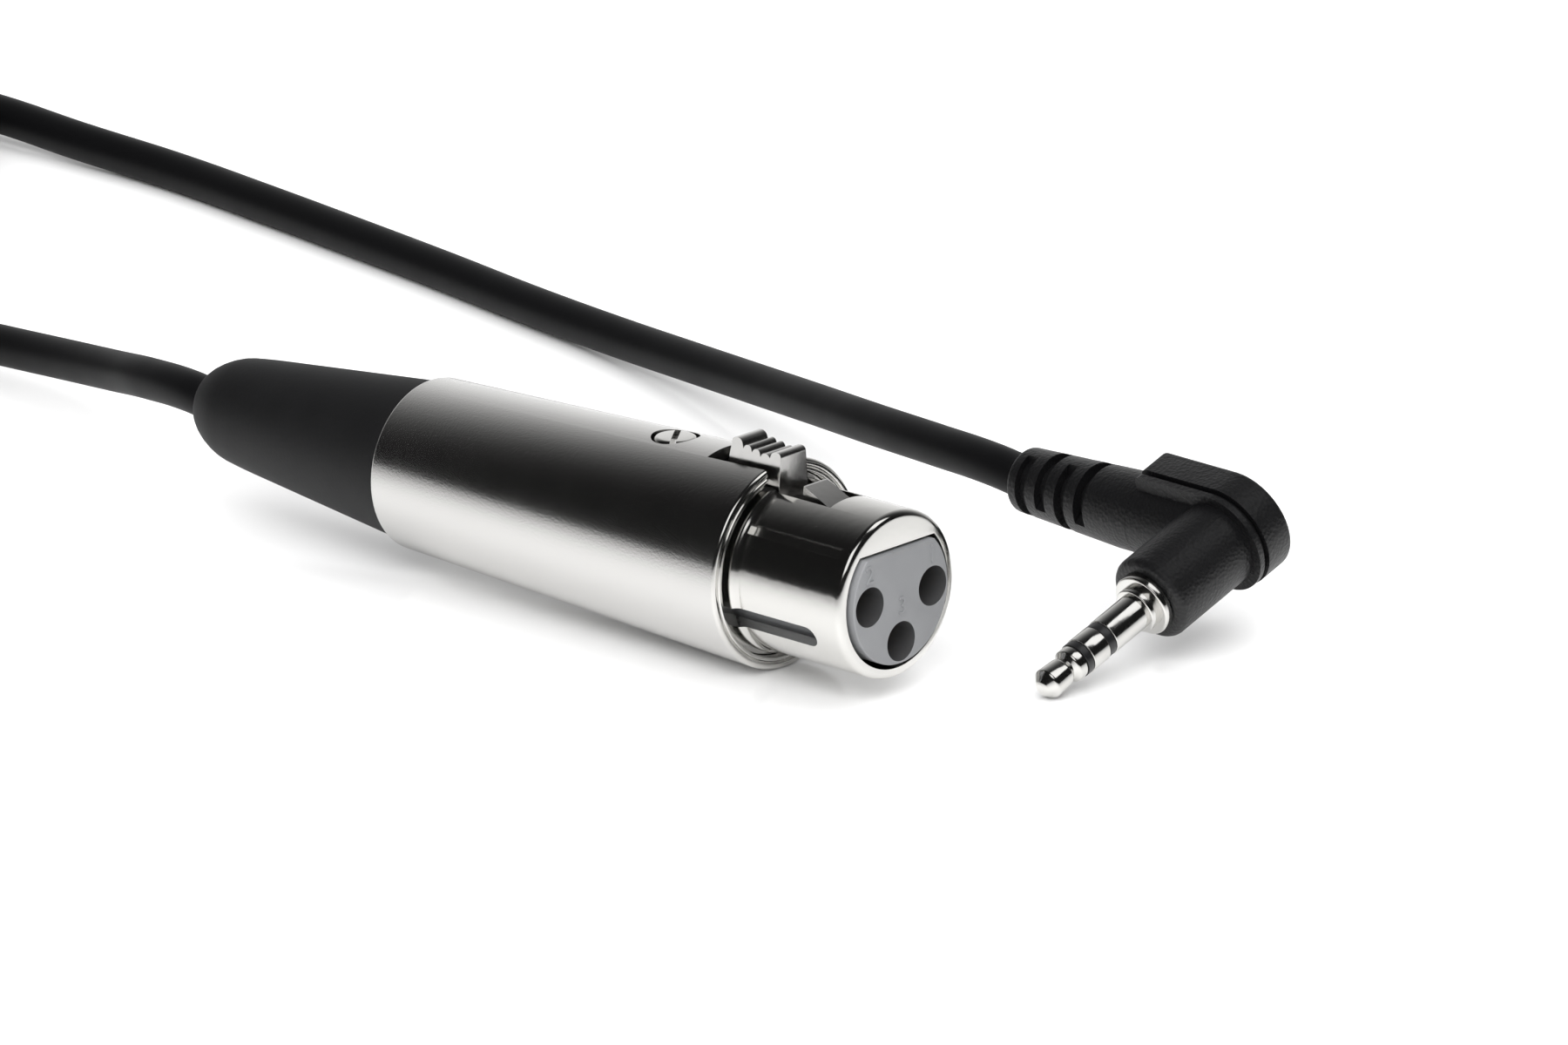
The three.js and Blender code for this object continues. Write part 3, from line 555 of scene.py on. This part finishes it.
# The outside is mid grey. The bores' walls get a darker grey, which is painted shade for the deep bores.
grey_nylon = glass_filled_nylon("grey_glass_filled_nylon", "#7e7f81", "#88898b")
bore_painted_shade_nylon = glass_filled_nylon("painted_shade_grey_nylon", "#3a3a3b", "#444445")

bm = spun([
    (block_rear, 0, 0), (block_rear, block_radius, 0), (block_front, block_radius, 0),
    (block_front, insert_radius, 0), (0, insert_radius, 0.16), (0, 0, 0),
], sides=160)
bm = combined(bm, [
    block((-front_wall - 1, -beyond, chord_z - 0.1), (1, beyond, beyond)),
    block((block_front, -beyond, arm_bed), (-front_wall - 0.3, beyond, beyond)),
    block((block_front - 3.5, -window_half, arm_bed), (block_front + 1, window_half, beyond)),
    rod((spring_x, 0, spring_floor), (spring_x, 0, beyond), spring_pocket),
    rod((pivot_x, -beyond, pivot_z), (pivot_x, beyond, pivot_z), pin_radius),
    rod((screw_x, 0, screw_seat), (screw_x, 0, beyond), screw_head + 0.2),
    *[rod((block_rear - 1, y, z), (1, y, z), contact_radius + 0.1, sides=64)
      for y, z in contact_places.values()],
])
insert = finish_piece(bm, "insert", grey_nylon, "grey_insert_plastic", "contact_insert")
insert.data.materials.append(bore_painted_shade_nylon)
for polygon in insert.data.polygons:
    middle = polygon.center / mm
    in_bore = any(math.hypot(middle.y - y, middle.z - z) < contact_radius + 0.11
                  for y, z in contact_places.values())
    # the bore walls take the darker grey: painted shade inside the bores
    polygon.material_index = int(in_bore and abs(polygon.normal.x) < 0.5)
soften(insert, 0.08)

bm = bmesh.new()
for figure, (y, z) in number_places.items():
    text = bpy.data.curves.new("figure", "FONT")
    text.body = figure
    text.size = number_size
    text.extrude = number_rise
    text.align_x = "CENTER"
    text.align_y = "CENTER"
    lettering = bpy.data.objects.new("figure", text)
    bpy.context.scene.collection.objects.link(lettering)
    view_layer = bpy.context.evaluated_depsgraph_get()
    figure_mesh = bpy.data.meshes.new_from_object(lettering.evaluated_get(view_layer))
    figure_mesh.transform(Matrix(((0, 0, 1, number_base), (1, 0, 0, y), (0, 1, 0, z), (0, 0, 0, 1))))
    bm.from_mesh(figure_mesh)
    bpy.data.objects.remove(lettering)
finish_piece(bm, "insert_numbers", grey_nylon, "grey_insert_plastic")

# -------------------------------------------------------------------------------- latch lever
# The lever is a plated zinc casting. Its thumb piece has four grip ridges, it turns on a pin
# in the insert, and its hook stands out of the nose to catch the other connector's rim.

arm_bottom, arm_top, arm_front = 5.1, 6.6, -7.3
thumb_rear, thumb_front, thumb_top, plateau_top = -19.7, -13.0, 11.4, 10.95
ridge_tops = ((-14.9, 10.6), (-15.95, 10.78), (-17.0, 10.95))
ridge_half, ridge_depth = 0.32, 0.45
thumb_draft, draft_from = 0.045, 7
hook_width, hook_top = 3.2, 8.45
boss_radius, boss_bore = 1.5, 0.8

# Tumbled nickel plate: the casting is tumbled and not polished, so it is softer and cloudier.
tumbled_nickel, at = start_material("tumbled_nickel_plate")
tumbling_mark = 0.7 * mm
blotch = add_node(tumbled_nickel, "ShaderNodeTexNoise", {"Scale": 1 / tumbling_mark, "Detail": 3.0},
                  {"Vector": at})
cloudier = add_node(tumbled_nickel, "ShaderNodeMapRange", {"To Min": 0.16, "To Max": 0.27},
                    {"Value": blotch.outputs["Fac"]})
pitted = add_node(tumbled_nickel, "ShaderNodeBump", {"Strength": 0.2, "Distance": 0.04 * mm},
                  {"Height": blotch.outputs["Fac"]})
end_material(tumbled_nickel, {"Base Color": linear("#cbcac8"), "Metallic": 1.0},
             {"Roughness": cloudier.outputs["Result"], "Normal": pitted.outputs["Normal"]})


def thicken(bm, along):
    """Extrudes a flat bmesh along a vector into a closed solid."""
    grown = bmesh.ops.extrude_face_region(bm, geom=bm.faces[:])
    moved = [item for item in grown["geom"] if isinstance(item, bmesh.types.BMVert)]
    bmesh.ops.translate(bm, vec=along, verts=moved)
    bmesh.ops.recalc_face_normals(bm, faces=bm.faces)


def slab(outline, width):
    """Extrudes an outline of (x, z, rounding) corners to a width along Y."""
    bm = bmesh.new()
    corners = [bm.verts.new((x, -width / 2, z)) for x, z, _ in outline]
    bm.faces.new(corners)
    for corner, (_, _, rounding) in zip(corners, outline):
        if rounding:
            round_off(bm, [corner], rounding, segments=4, affect="VERTICES")
    thicken(bm, (0, width, 0))
    return bm


thumb = [
    (pivot_x, arm_bottom, 0), (arm_front, arm_bottom, 0), (arm_front, arm_top, 0),
    (thumb_front, arm_top, 0), (thumb_front, plateau_top, 0.45),
    (thumb_front - 1.1, plateau_top, 0.4), (thumb_front - 1.3, plateau_top - 0.7, 0.05),
]
for ridge_x, top in ridge_tops:
    thumb += [(ridge_x + ridge_half, top, 0.3), (ridge_x - ridge_half, top, 0.3),
              (ridge_x - 0.55, top - ridge_depth, 0.05)]
thumb += [(-17.8, thumb_top, 0.45), (thumb_rear + 0.85, thumb_top, 0.4), (thumb_rear, arm_top, 0),
          (pivot_x, arm_top, 0)]
hook = [
    (-10.5, arm_top - 0.5, 0), (arm_front, arm_top - 0.5, 0), (arm_front, arm_top + 0.5, 0.1),
    (-10.25, hook_top, 0.1), (-10.4, hook_top, 0),
]
thumb_piece = slab(thumb, latch_width)


def upright_in_front(edge):
    """Whether an edge is one of the two long upright ones of the thumb piece's front face."""
    one, other = [vert.co for vert in edge.verts]
    in_front = all(abs(end.x - thumb_front) < 0.01 and end.z > arm_top - 0.01 for end in (one, other))
    return in_front and (other - one).length > 2 and abs(other.y - one.y) < 0.01


round_off(thumb_piece, [edge for edge in thumb_piece.edges if upright_in_front(edge)], 0.3, segments=4)
boss_half = latch_width / 2
bm = combined(thumb_piece, [
    slab(hook, hook_width),
    rod((pivot_x, -boss_half, pivot_z), (pivot_x, boss_half, pivot_z), boss_radius),
], "UNION")
bm = combined(bm, [rod((pivot_x, -beyond, pivot_z), (pivot_x, beyond, pivot_z), boss_bore)])
# the thumb piece narrows towards its top, as it was drawn out of its mould
for vert in bm.verts:
    vert.co.y *= 1 - thumb_draft * max(0, vert.co.z - draft_from)
lever = finish_piece(bm, "lever", tumbled_nickel, "polished_nickel", "latch_lever", body="latch")
soften(lever, 0.2, segments=4)

# ---------------------------------------------------------------------------- retaining screw
# A plated steel cheese-head screw holds the insert in the handle. Its head lies flush in a
# round hole and has a straight slot.

shank_end, shank_radius = 3.6, 1.25
head_height = 1.6
driver_width, driver_depth, driver_angle = 0.56, 0.6, 35
flush_radius = lip_radius + (rear_radius - lip_radius) * (lip_x - screw_x) / handle_length
screw_top = flush_radius - 0.08
bm = spun([
    (shank_end, 0, 0), (shank_end, shank_radius - 0.3, 0), (shank_end + 0.4, shank_radius, 0),
    (screw_top - head_height, shank_radius, 0), (screw_top - head_height, screw_head, 0),
    (screw_top, screw_head, 0.4), (screw_top, 0, 0),
], sides=96)
slot_cutter = block((screw_top - driver_depth, -beyond, -driver_width / 2),
                    (screw_top + 1, beyond, driver_width / 2))
bmesh.ops.rotate(slot_cutter, cent=(0, 0, 0), matrix=Matrix.Rotation(math.radians(driver_angle), 3, "X"),
                 verts=slot_cutter.verts)
bm = combined(bm, [slot_cutter])
stand_up = Matrix.Translation((screw_x, 0, 0)) @ Matrix.Rotation(-math.pi / 2, 4, "Y")
screw = finish_piece(bm, "screw", bright_nickel, "polished_nickel", "retaining_screw", place=stand_up)
soften(screw, 0.08)

# -------------------------------------------------------------------------------- rubber boot
# The boot is a matt black rubber moulding pushed into the back of the handle. It narrows to a
# rounded end that grips the cable.

boot_bore = 2.15
boot_tail = -80.0
boot_end = -86.0
boot_seat_length = 8
boot_seat_radius = 7.1
boot_root_radius = 6.85

# Matt black rubber: moulded with a dull skin that catches the light only in broad soft areas.
matt_rubber, at = start_material("matt_black_rubber")
bloom_patch, pore = 5.0 * mm, 0.3 * mm
bloom = add_node(matt_rubber, "ShaderNodeTexNoise", {"Scale": 1 / bloom_patch, "Detail": 3.0},
                 {"Vector": at})
pores = add_node(matt_rubber, "ShaderNodeTexNoise", {"Scale": 1 / pore, "Detail": 2.0}, {"Vector": at})
dull = add_node(matt_rubber, "ShaderNodeMapRange", {"To Min": 0.55, "To Max": 0.68},
                {"Value": bloom.outputs["Fac"]})
black = add_node(matt_rubber, "ShaderNodeMixRGB", {1: linear("#0b0b0c"), 2: linear("#121213")},
                 {0: bloom.outputs["Fac"]})
porous = add_node(matt_rubber, "ShaderNodeBump", {"Strength": 0.3, "Distance": 0.04 * mm},
                  {"Height": pores.outputs["Fac"]})
end_material(matt_rubber, {"IOR": 1.52, "Specular IOR Level": 0.3},
             {"Base Color": black.outputs["Color"], "Roughness": dull.outputs["Result"],
              "Normal": porous.outputs["Normal"]})

seat_x = rear_x + boot_seat_length
bm = spun([
    (seat_x, boot_bore + 1.5, 0), (seat_x, boot_seat_radius, 0.2), (rear_x + 0.1, boot_root_radius, 0),
    (rear_x - 0.1, boot_root_radius, 0), (rear_x - 0.1, rear_radius - 0.5, 0.15),
    (boot_tail, 5.35, 1.2), (boot_tail - 4.2, 4.75, 2.2),
    (boot_end, 3.2, 0.7), (boot_end, boot_bore, 0.2), (rear_x, boot_bore, 0),
], sides=160)
finish_piece(bm, "boot", matt_rubber, "black_rubber", "rubber_boot")

# ------------------------------------------------------------------------------ plug contacts
# The plug's three contacts are turned brass, polished and nickel plated, with a black plastic
# ring between each two. The sleeve's flange and its step seat against the jack.

plug_turn = math.radians(-91.7)
plug_pitch = math.radians(19.5)
tip_shoulder, tip_radius = 13.1, 1.5
tip_reach = tip_shoulder * math.sin(plug_pitch) + tip_radius * math.cos(plug_pitch)
plug_place = (Matrix.Translation((9.8, 21.4, floor_z / mm + tip_reach + 0.02))
              @ Matrix.Rotation(plug_turn, 4, "Z") @ Matrix.Rotation(plug_pitch, 4, "Y"))
plug_radius = 1.75
bulb_radius = 1.62
ring_radius = 1.69
flange_radius = 3.0
tip_from, ring_from, sleeve_front = 9.26, 6.26, 5.3

# Black PBT, moulded: hard and slightly glossy where the contacts were turned with it.
black_pbt, at = start_material("black_pbt")
wipe_mark = 0.8 * mm
wipe = add_node(black_pbt, "ShaderNodeTexNoise", {"Scale": 1 / wipe_mark, "Detail": 2.0}, {"Vector": at})
glossy = add_node(black_pbt, "ShaderNodeMapRange", {"To Min": 0.25, "To Max": 0.4},
                  {"Value": wipe.outputs["Fac"]})
end_material(black_pbt, {"Base Color": linear("#161617"), "IOR": 1.55},
             {"Roughness": glossy.outputs["Result"]})


def plug_turning(name, material, slot, node, profile):
    """One turned piece of the plug, from its profile in the plug's own frame."""
    return finish_piece(spun(profile, sides=96), name, material, slot, node, place=plug_place)


plug_pieces = [
    plug_turning("plug_tip", bright_nickel, "polished_nickel", "plug_tip_contact", [
        (-9, 0, 0), (-9, 0.49, 0), (tip_from, 0.49, 0), (tip_from, bulb_radius, 0.1),
        (tip_from + 0.95, bulb_radius, 0.15), (tip_from + 1.35, tip_radius - 0.42, 0.12),
        (tip_from + 1.75, tip_radius - 0.12, 0.2), (tip_shoulder, tip_radius, 0.15),
        (13.86, 0.75, 0.1), (14, 0.45, 0.1), (14, 0, 0),
    ]),
    plug_turning("plug_front_ring", black_pbt, "black_insulator", "plug_front_insulator", [
        (-8, 0.55, 0), (-8, 0.74, 0), (8.46, 0.74, 0), (8.46, ring_radius, 0.05),
        (9.2, ring_radius, 0.05), (9.2, 0.55, 0),
    ]),
    plug_turning("plug_middle", bright_nickel, "polished_nickel", "plug_ring_contact", [
        (-7.5, 0.8, 0), (-7.5, 0.99, 0), (ring_from, 0.99, 0), (ring_from, plug_radius, 0.08),
        (8.4, plug_radius, 0.08), (8.4, 0.8, 0),
    ]),
    plug_turning("plug_rear_ring", black_pbt, "black_insulator", "plug_rear_insulator", [
        (-7, 1.05, 0), (-7, 1.24, 0), (5.36, 1.24, 0), (5.36, ring_radius, 0.05),
        (6.2, ring_radius, 0.05), (6.2, 1.05, 0),
    ]),
    plug_turning("plug_sleeve", bright_nickel, "polished_nickel", "plug_sleeve_contact", [
        (-5.5, 1.3, 0), (-5.5, 1.9, 0), (-0.95, 1.9, 0), (-0.95, flange_radius, 0.12),
        (0, flange_radius, 0.2), (0, 2.2, 0), (0.9, 2.2, 0.15), (0.9, plug_radius, 0),
        (sleeve_front, plug_radius, 0.08), (sleeve_front, 1.3, 0),
    ]),
]

# ------------------------------------------------------------------------------ plug moulding
# The plug's body is moulded over the contacts and the cable in black PVC with a pebble grain.
# It is an arm, a thin plate, a shadow groove and a cap that is round on one side. The strain
# relief is cut into links so that it bends with the cable.

arm_radius = 4.15
plate_x, groove_x, groove_depth_x = -10.9, -11.5, 0.45
cap_back, cap_radius, cap_end = -15.4, 5.15, -8.9
relief_x, relief_radius, relief_tail = -12, 3.7, 3.05
relief_root, relief_end, neck_radius, neck_end = -9.2, -24.45, 2.9, -3.4
neck_gap = 0.3
slot_count, slot_width, slot_pitch, slot_first = 4, 1.25, 2.53, -22.55
rib_half, rib_turns = 1.1, (73, 26)
core_bore, cable_bore = 3.1, 2.1

# Pebble-grain PVC: small rounded pits a third of a millimetre across, and a low sheen.
pebble_pvc, at = start_material("pebble_grain_black_pvc")
pebble_size, wear_patch = 0.34 * mm, 2.5 * mm
pebble = add_node(pebble_pvc, "ShaderNodeTexVoronoi", {"Scale": 1 / pebble_size}, {"Vector": at})
worn = add_node(pebble_pvc, "ShaderNodeTexNoise", {"Scale": 1 / wear_patch, "Detail": 3.0},
                {"Vector": at})
sheen = add_node(pebble_pvc, "ShaderNodeMapRange", {"To Min": 0.38, "To Max": 0.52},
                 {"Value": worn.outputs["Fac"]})
grain = add_node(pebble_pvc, "ShaderNodeBump", {"Strength": 0.7, "Distance": 0.06 * mm},
                 {"Height": pebble.outputs["Distance"]})
end_material(pebble_pvc, {"Base Color": linear("#0d0d0e"), "IOR": 1.52, "Specular IOR Level": 0.38},
             {"Roughness": sheen.outputs["Result"], "Normal": grain.outputs["Normal"]})


def back_plate(front, back, inset, edge=0.0):
    """The outline of the plug's back, square at the cable and round beyond it, as a plate."""
    radius = cap_radius - inset
    bm = bmesh.new()
    low = bm.verts.new((back, 0, -radius))
    bmesh.ops.spin(bm, geom=[low], cent=(back, 0, 0), axis=(1, 0, 0), dvec=(0, 0, 0),
                   angle=math.pi, steps=64, use_merge=False, use_duplicate=False)
    bm.verts.ensure_lookup_table()
    high = max(bm.verts, key=lambda vert: vert.co.z)
    corners = [bm.verts.new((back, cap_end + inset, side * radius)) for side in (1, -1)]
    bm.edges.new((high, corners[0]))
    bm.edges.new((corners[0], corners[1]))
    bm.edges.new((corners[1], low))
    bmesh.ops.contextual_create(bm, geom=bm.edges[:])
    round_off(bm, corners, 0.7, affect="VERTICES")
    thicken(bm, (front - back, 0, 0))
    if edge:
        round_off(bm, [e for e in bm.edges if all(abs(v.co.x - back) < 1e-4 for v in e.verts)], edge)
    return bm


def relief_turning(profile, sides=96):
    """A spun shape on the strain relief's axis, across the plug."""
    bm = spun(profile, sides)
    across = Matrix.Translation((relief_x, 0, 0)) @ Matrix.Rotation(math.pi / 2, 4, "Z")
    bmesh.ops.transform(bm, matrix=across, verts=bm.verts)
    return bm


neck_room = [(relief_root - 1, 0, 0), (relief_root - 1, neck_radius + neck_gap, 0),
             (neck_end + 1, neck_radius + neck_gap, 0), (neck_end + 1, 0, 0)]
root = combined(
    relief_turning([(relief_root, 0, 0), (relief_root, relief_radius, 0), (0, relief_radius, 0),
                    (0, 0, 0)]),
    [block((-30, -20, -20), (groove_x, 20, 20))])
bm = combined(spun([
    (plate_x, 0, 0), (plate_x, arm_radius, 0), (-1.0, arm_radius, 0.75), (-1.0, 0, 0),
], sides=128), [
    root, back_plate(plate_x + 0.01, groove_x, 0.1),
    back_plate(groove_x + 0.01, groove_x - groove_depth_x, 0.5),
], "UNION")
bm = combined(bm, [
    rod((-13, 0, 0), (0, 0, 0), cable_bore), rod((-13, 0, 0), (-7, 0, 0), core_bore),
    relief_turning(neck_room),
])
body = finish_piece(bm, "plug_arm", pebble_pvc, "black_overmould", "plug_body", place=plug_place)
soften(body, 0.12)

cap_front = groove_x - groove_depth_x - 0.1
bm = combined(back_plate(cap_front, cap_back, 0, edge=0.55), [
    block((cap_back + 1, -3.2, -3), (cap_front + 1, 3, 3)), relief_turning(neck_room),
])
cap = finish_piece(bm, "plug_back", pebble_pvc, "black_overmould", "plug_cap", place=plug_place)
soften(cap, 0.12, angle=45)

relief_front = relief_root - 0.3
collar_radius = relief_radius + 0.015
bm = relief_turning([
    (relief_end, cable_bore, 0), (relief_end, relief_tail, 0.5), (relief_front - 2, relief_radius, 0),
    (relief_front, relief_radius, 0), (relief_front, collar_radius, 0),
    (relief_root + 0.25, collar_radius, 0), (relief_root + 0.25, neck_radius, 0),
    (neck_end, neck_radius, 0), (neck_end, cable_bore, 0),
], sides=128)
slots = bmesh.new()
for i in range(slot_count):
    middle = slot_first + slot_pitch * i
    near, far = middle - slot_width / 2, middle + slot_width / 2
    rib = block((relief_x - beyond, middle - 2, -rib_half), (relief_x + beyond, middle + 2, rib_half))
    turn = Matrix.Rotation(math.radians(rib_turns[i % 2]), 3, "Y")
    bmesh.ops.rotate(rib, cent=(relief_x, 0, 0), matrix=turn, verts=rib.verts)
    ring = relief_turning([(near, cable_bore + 0.3, 0), (near, 6, 0), (far, 6, 0),
                           (far, cable_bore + 0.3, 0)])
    half_rings = combined(ring, [rib])
    slot_mesh = bpy.data.meshes.new("slot")
    half_rings.to_mesh(slot_mesh)
    half_rings.free()
    slots.from_mesh(slot_mesh)
bm = combined(bm, [slots])
links = finish_piece(bm, "plug_relief", pebble_pvc, "black_overmould", "plug_strain_relief",
                     place=plug_place)
soften(links, 0.1, angle=45)
plug_pieces += [body, cap, links]

# ------------------------------------------------------------------------------- inside pieces
# What the shells and the mouldings hide: turned contacts, the latch's spring and pin, the
# collet on the cable, and the soldered cores.


def dress(material, *nodes):
    """Gives CAD nodes a finished material."""
    for node in nodes:
        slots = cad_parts[node].data.materials
        slots.clear()
        slots.append(material)


# Turned brass: rings from the lathe, drawn coarse enough to show, with a thin warm tarnish.
turned_brass, at = start_material("turned_brass")
feed_mark, tarnish_patch = 0.2 * mm, 2.0 * mm
rings = add_node(turned_brass, "ShaderNodeTexWave", {"Scale": 1 / (feed_mark * 20)}, {"Vector": at},
                 bands_direction="X")
tarnish = add_node(turned_brass, "ShaderNodeTexNoise", {"Scale": 1 / tarnish_patch, "Detail": 3.0},
                   {"Vector": at})
warm = add_node(turned_brass, "ShaderNodeMixRGB", {1: linear("#d0ae62"), 2: linear("#b98f48")},
                {0: tarnish.outputs["Fac"]})
lathe = add_node(turned_brass, "ShaderNodeBump", {"Strength": 0.2, "Distance": 0.01 * mm},
                 {"Height": rings.outputs["Fac"]})
end_material(turned_brass, {"Metallic": 1.0, "Roughness": 0.28},
             {"Base Color": warm.outputs["Color"], "Normal": lathe.outputs["Normal"]})
dress(turned_brass, "socket_contact_1", "socket_contact_2", "socket_contact_3", "screw_bush")

# Drawn spring steel: bright wire with fine marks from the die.
drawn_steel, at = start_material("drawn_spring_steel")
die_mark = 0.2 * mm
die = add_node(drawn_steel, "ShaderNodeTexNoise", {"Scale": 1 / die_mark, "Detail": 2.0}, {"Vector": at})
bright = add_node(drawn_steel, "ShaderNodeMapRange", {"To Min": 0.2, "To Max": 0.36},
                  {"Value": die.outputs["Fac"]})
end_material(drawn_steel, {"Base Color": linear("#c2c4c7"), "Metallic": 1.0},
             {"Roughness": bright.outputs["Result"]})
dress(drawn_steel, "latch_spring", "latch_pin")
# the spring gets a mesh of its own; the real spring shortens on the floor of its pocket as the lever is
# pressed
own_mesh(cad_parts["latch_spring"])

# Natural acetal: a milky white that is a little waxy.
acetal, at = start_material("natural_acetal")
milky_patch = 3.0 * mm
milk = add_node(acetal, "ShaderNodeTexNoise", {"Scale": 1 / milky_patch, "Detail": 2.0}, {"Vector": at})
waxy = add_node(acetal, "ShaderNodeMixRGB", {1: linear("#e9e7df"), 2: linear("#dfdcd2")},
                {0: milk.outputs["Fac"]})
end_material(acetal, {"Roughness": 0.42, "IOR": 1.48, "Subsurface Weight": 0.1,
                      "Subsurface Scale": 1.0 * mm}, {"Base Color": waxy.outputs["Color"]})
dress(acetal, "cable_collet")

dress(black_pvc, "jacket_in_boot", "jacket_in_plug")


def core_insulation(name, first, second, metallic, roughness):
    """A core's colour, mottled slightly along its length."""
    material, at = start_material(name)
    mottle_size = 0.8 * mm
    mottle = add_node(material, "ShaderNodeTexNoise", {"Scale": 1 / mottle_size, "Detail": 2.0},
                      {"Vector": at})
    colour = add_node(material, "ShaderNodeMixRGB", {1: linear(first), 2: linear(second)},
                      {0: mottle.outputs["Fac"]})
    return end_material(material, {"Metallic": metallic, "Roughness": roughness},
                        {"Base Color": colour.outputs["Color"]})


dress(core_insulation("red_core_pvc", "#ad2a24", "#9a231e", metallic=0.0, roughness=0.4),
      "conductor_2", "plug_conductor_tip")
dress(core_insulation("white_core_pvc", "#e6e3da", "#d8d4c8", metallic=0.0, roughness=0.4),
      "conductor_3", "plug_conductor_ring")
dress(core_insulation("bare_copper_screen", "#c07a4e", "#a9653c", metallic=1.0, roughness=0.38),
      "conductor_1", "plug_conductor_sleeve")
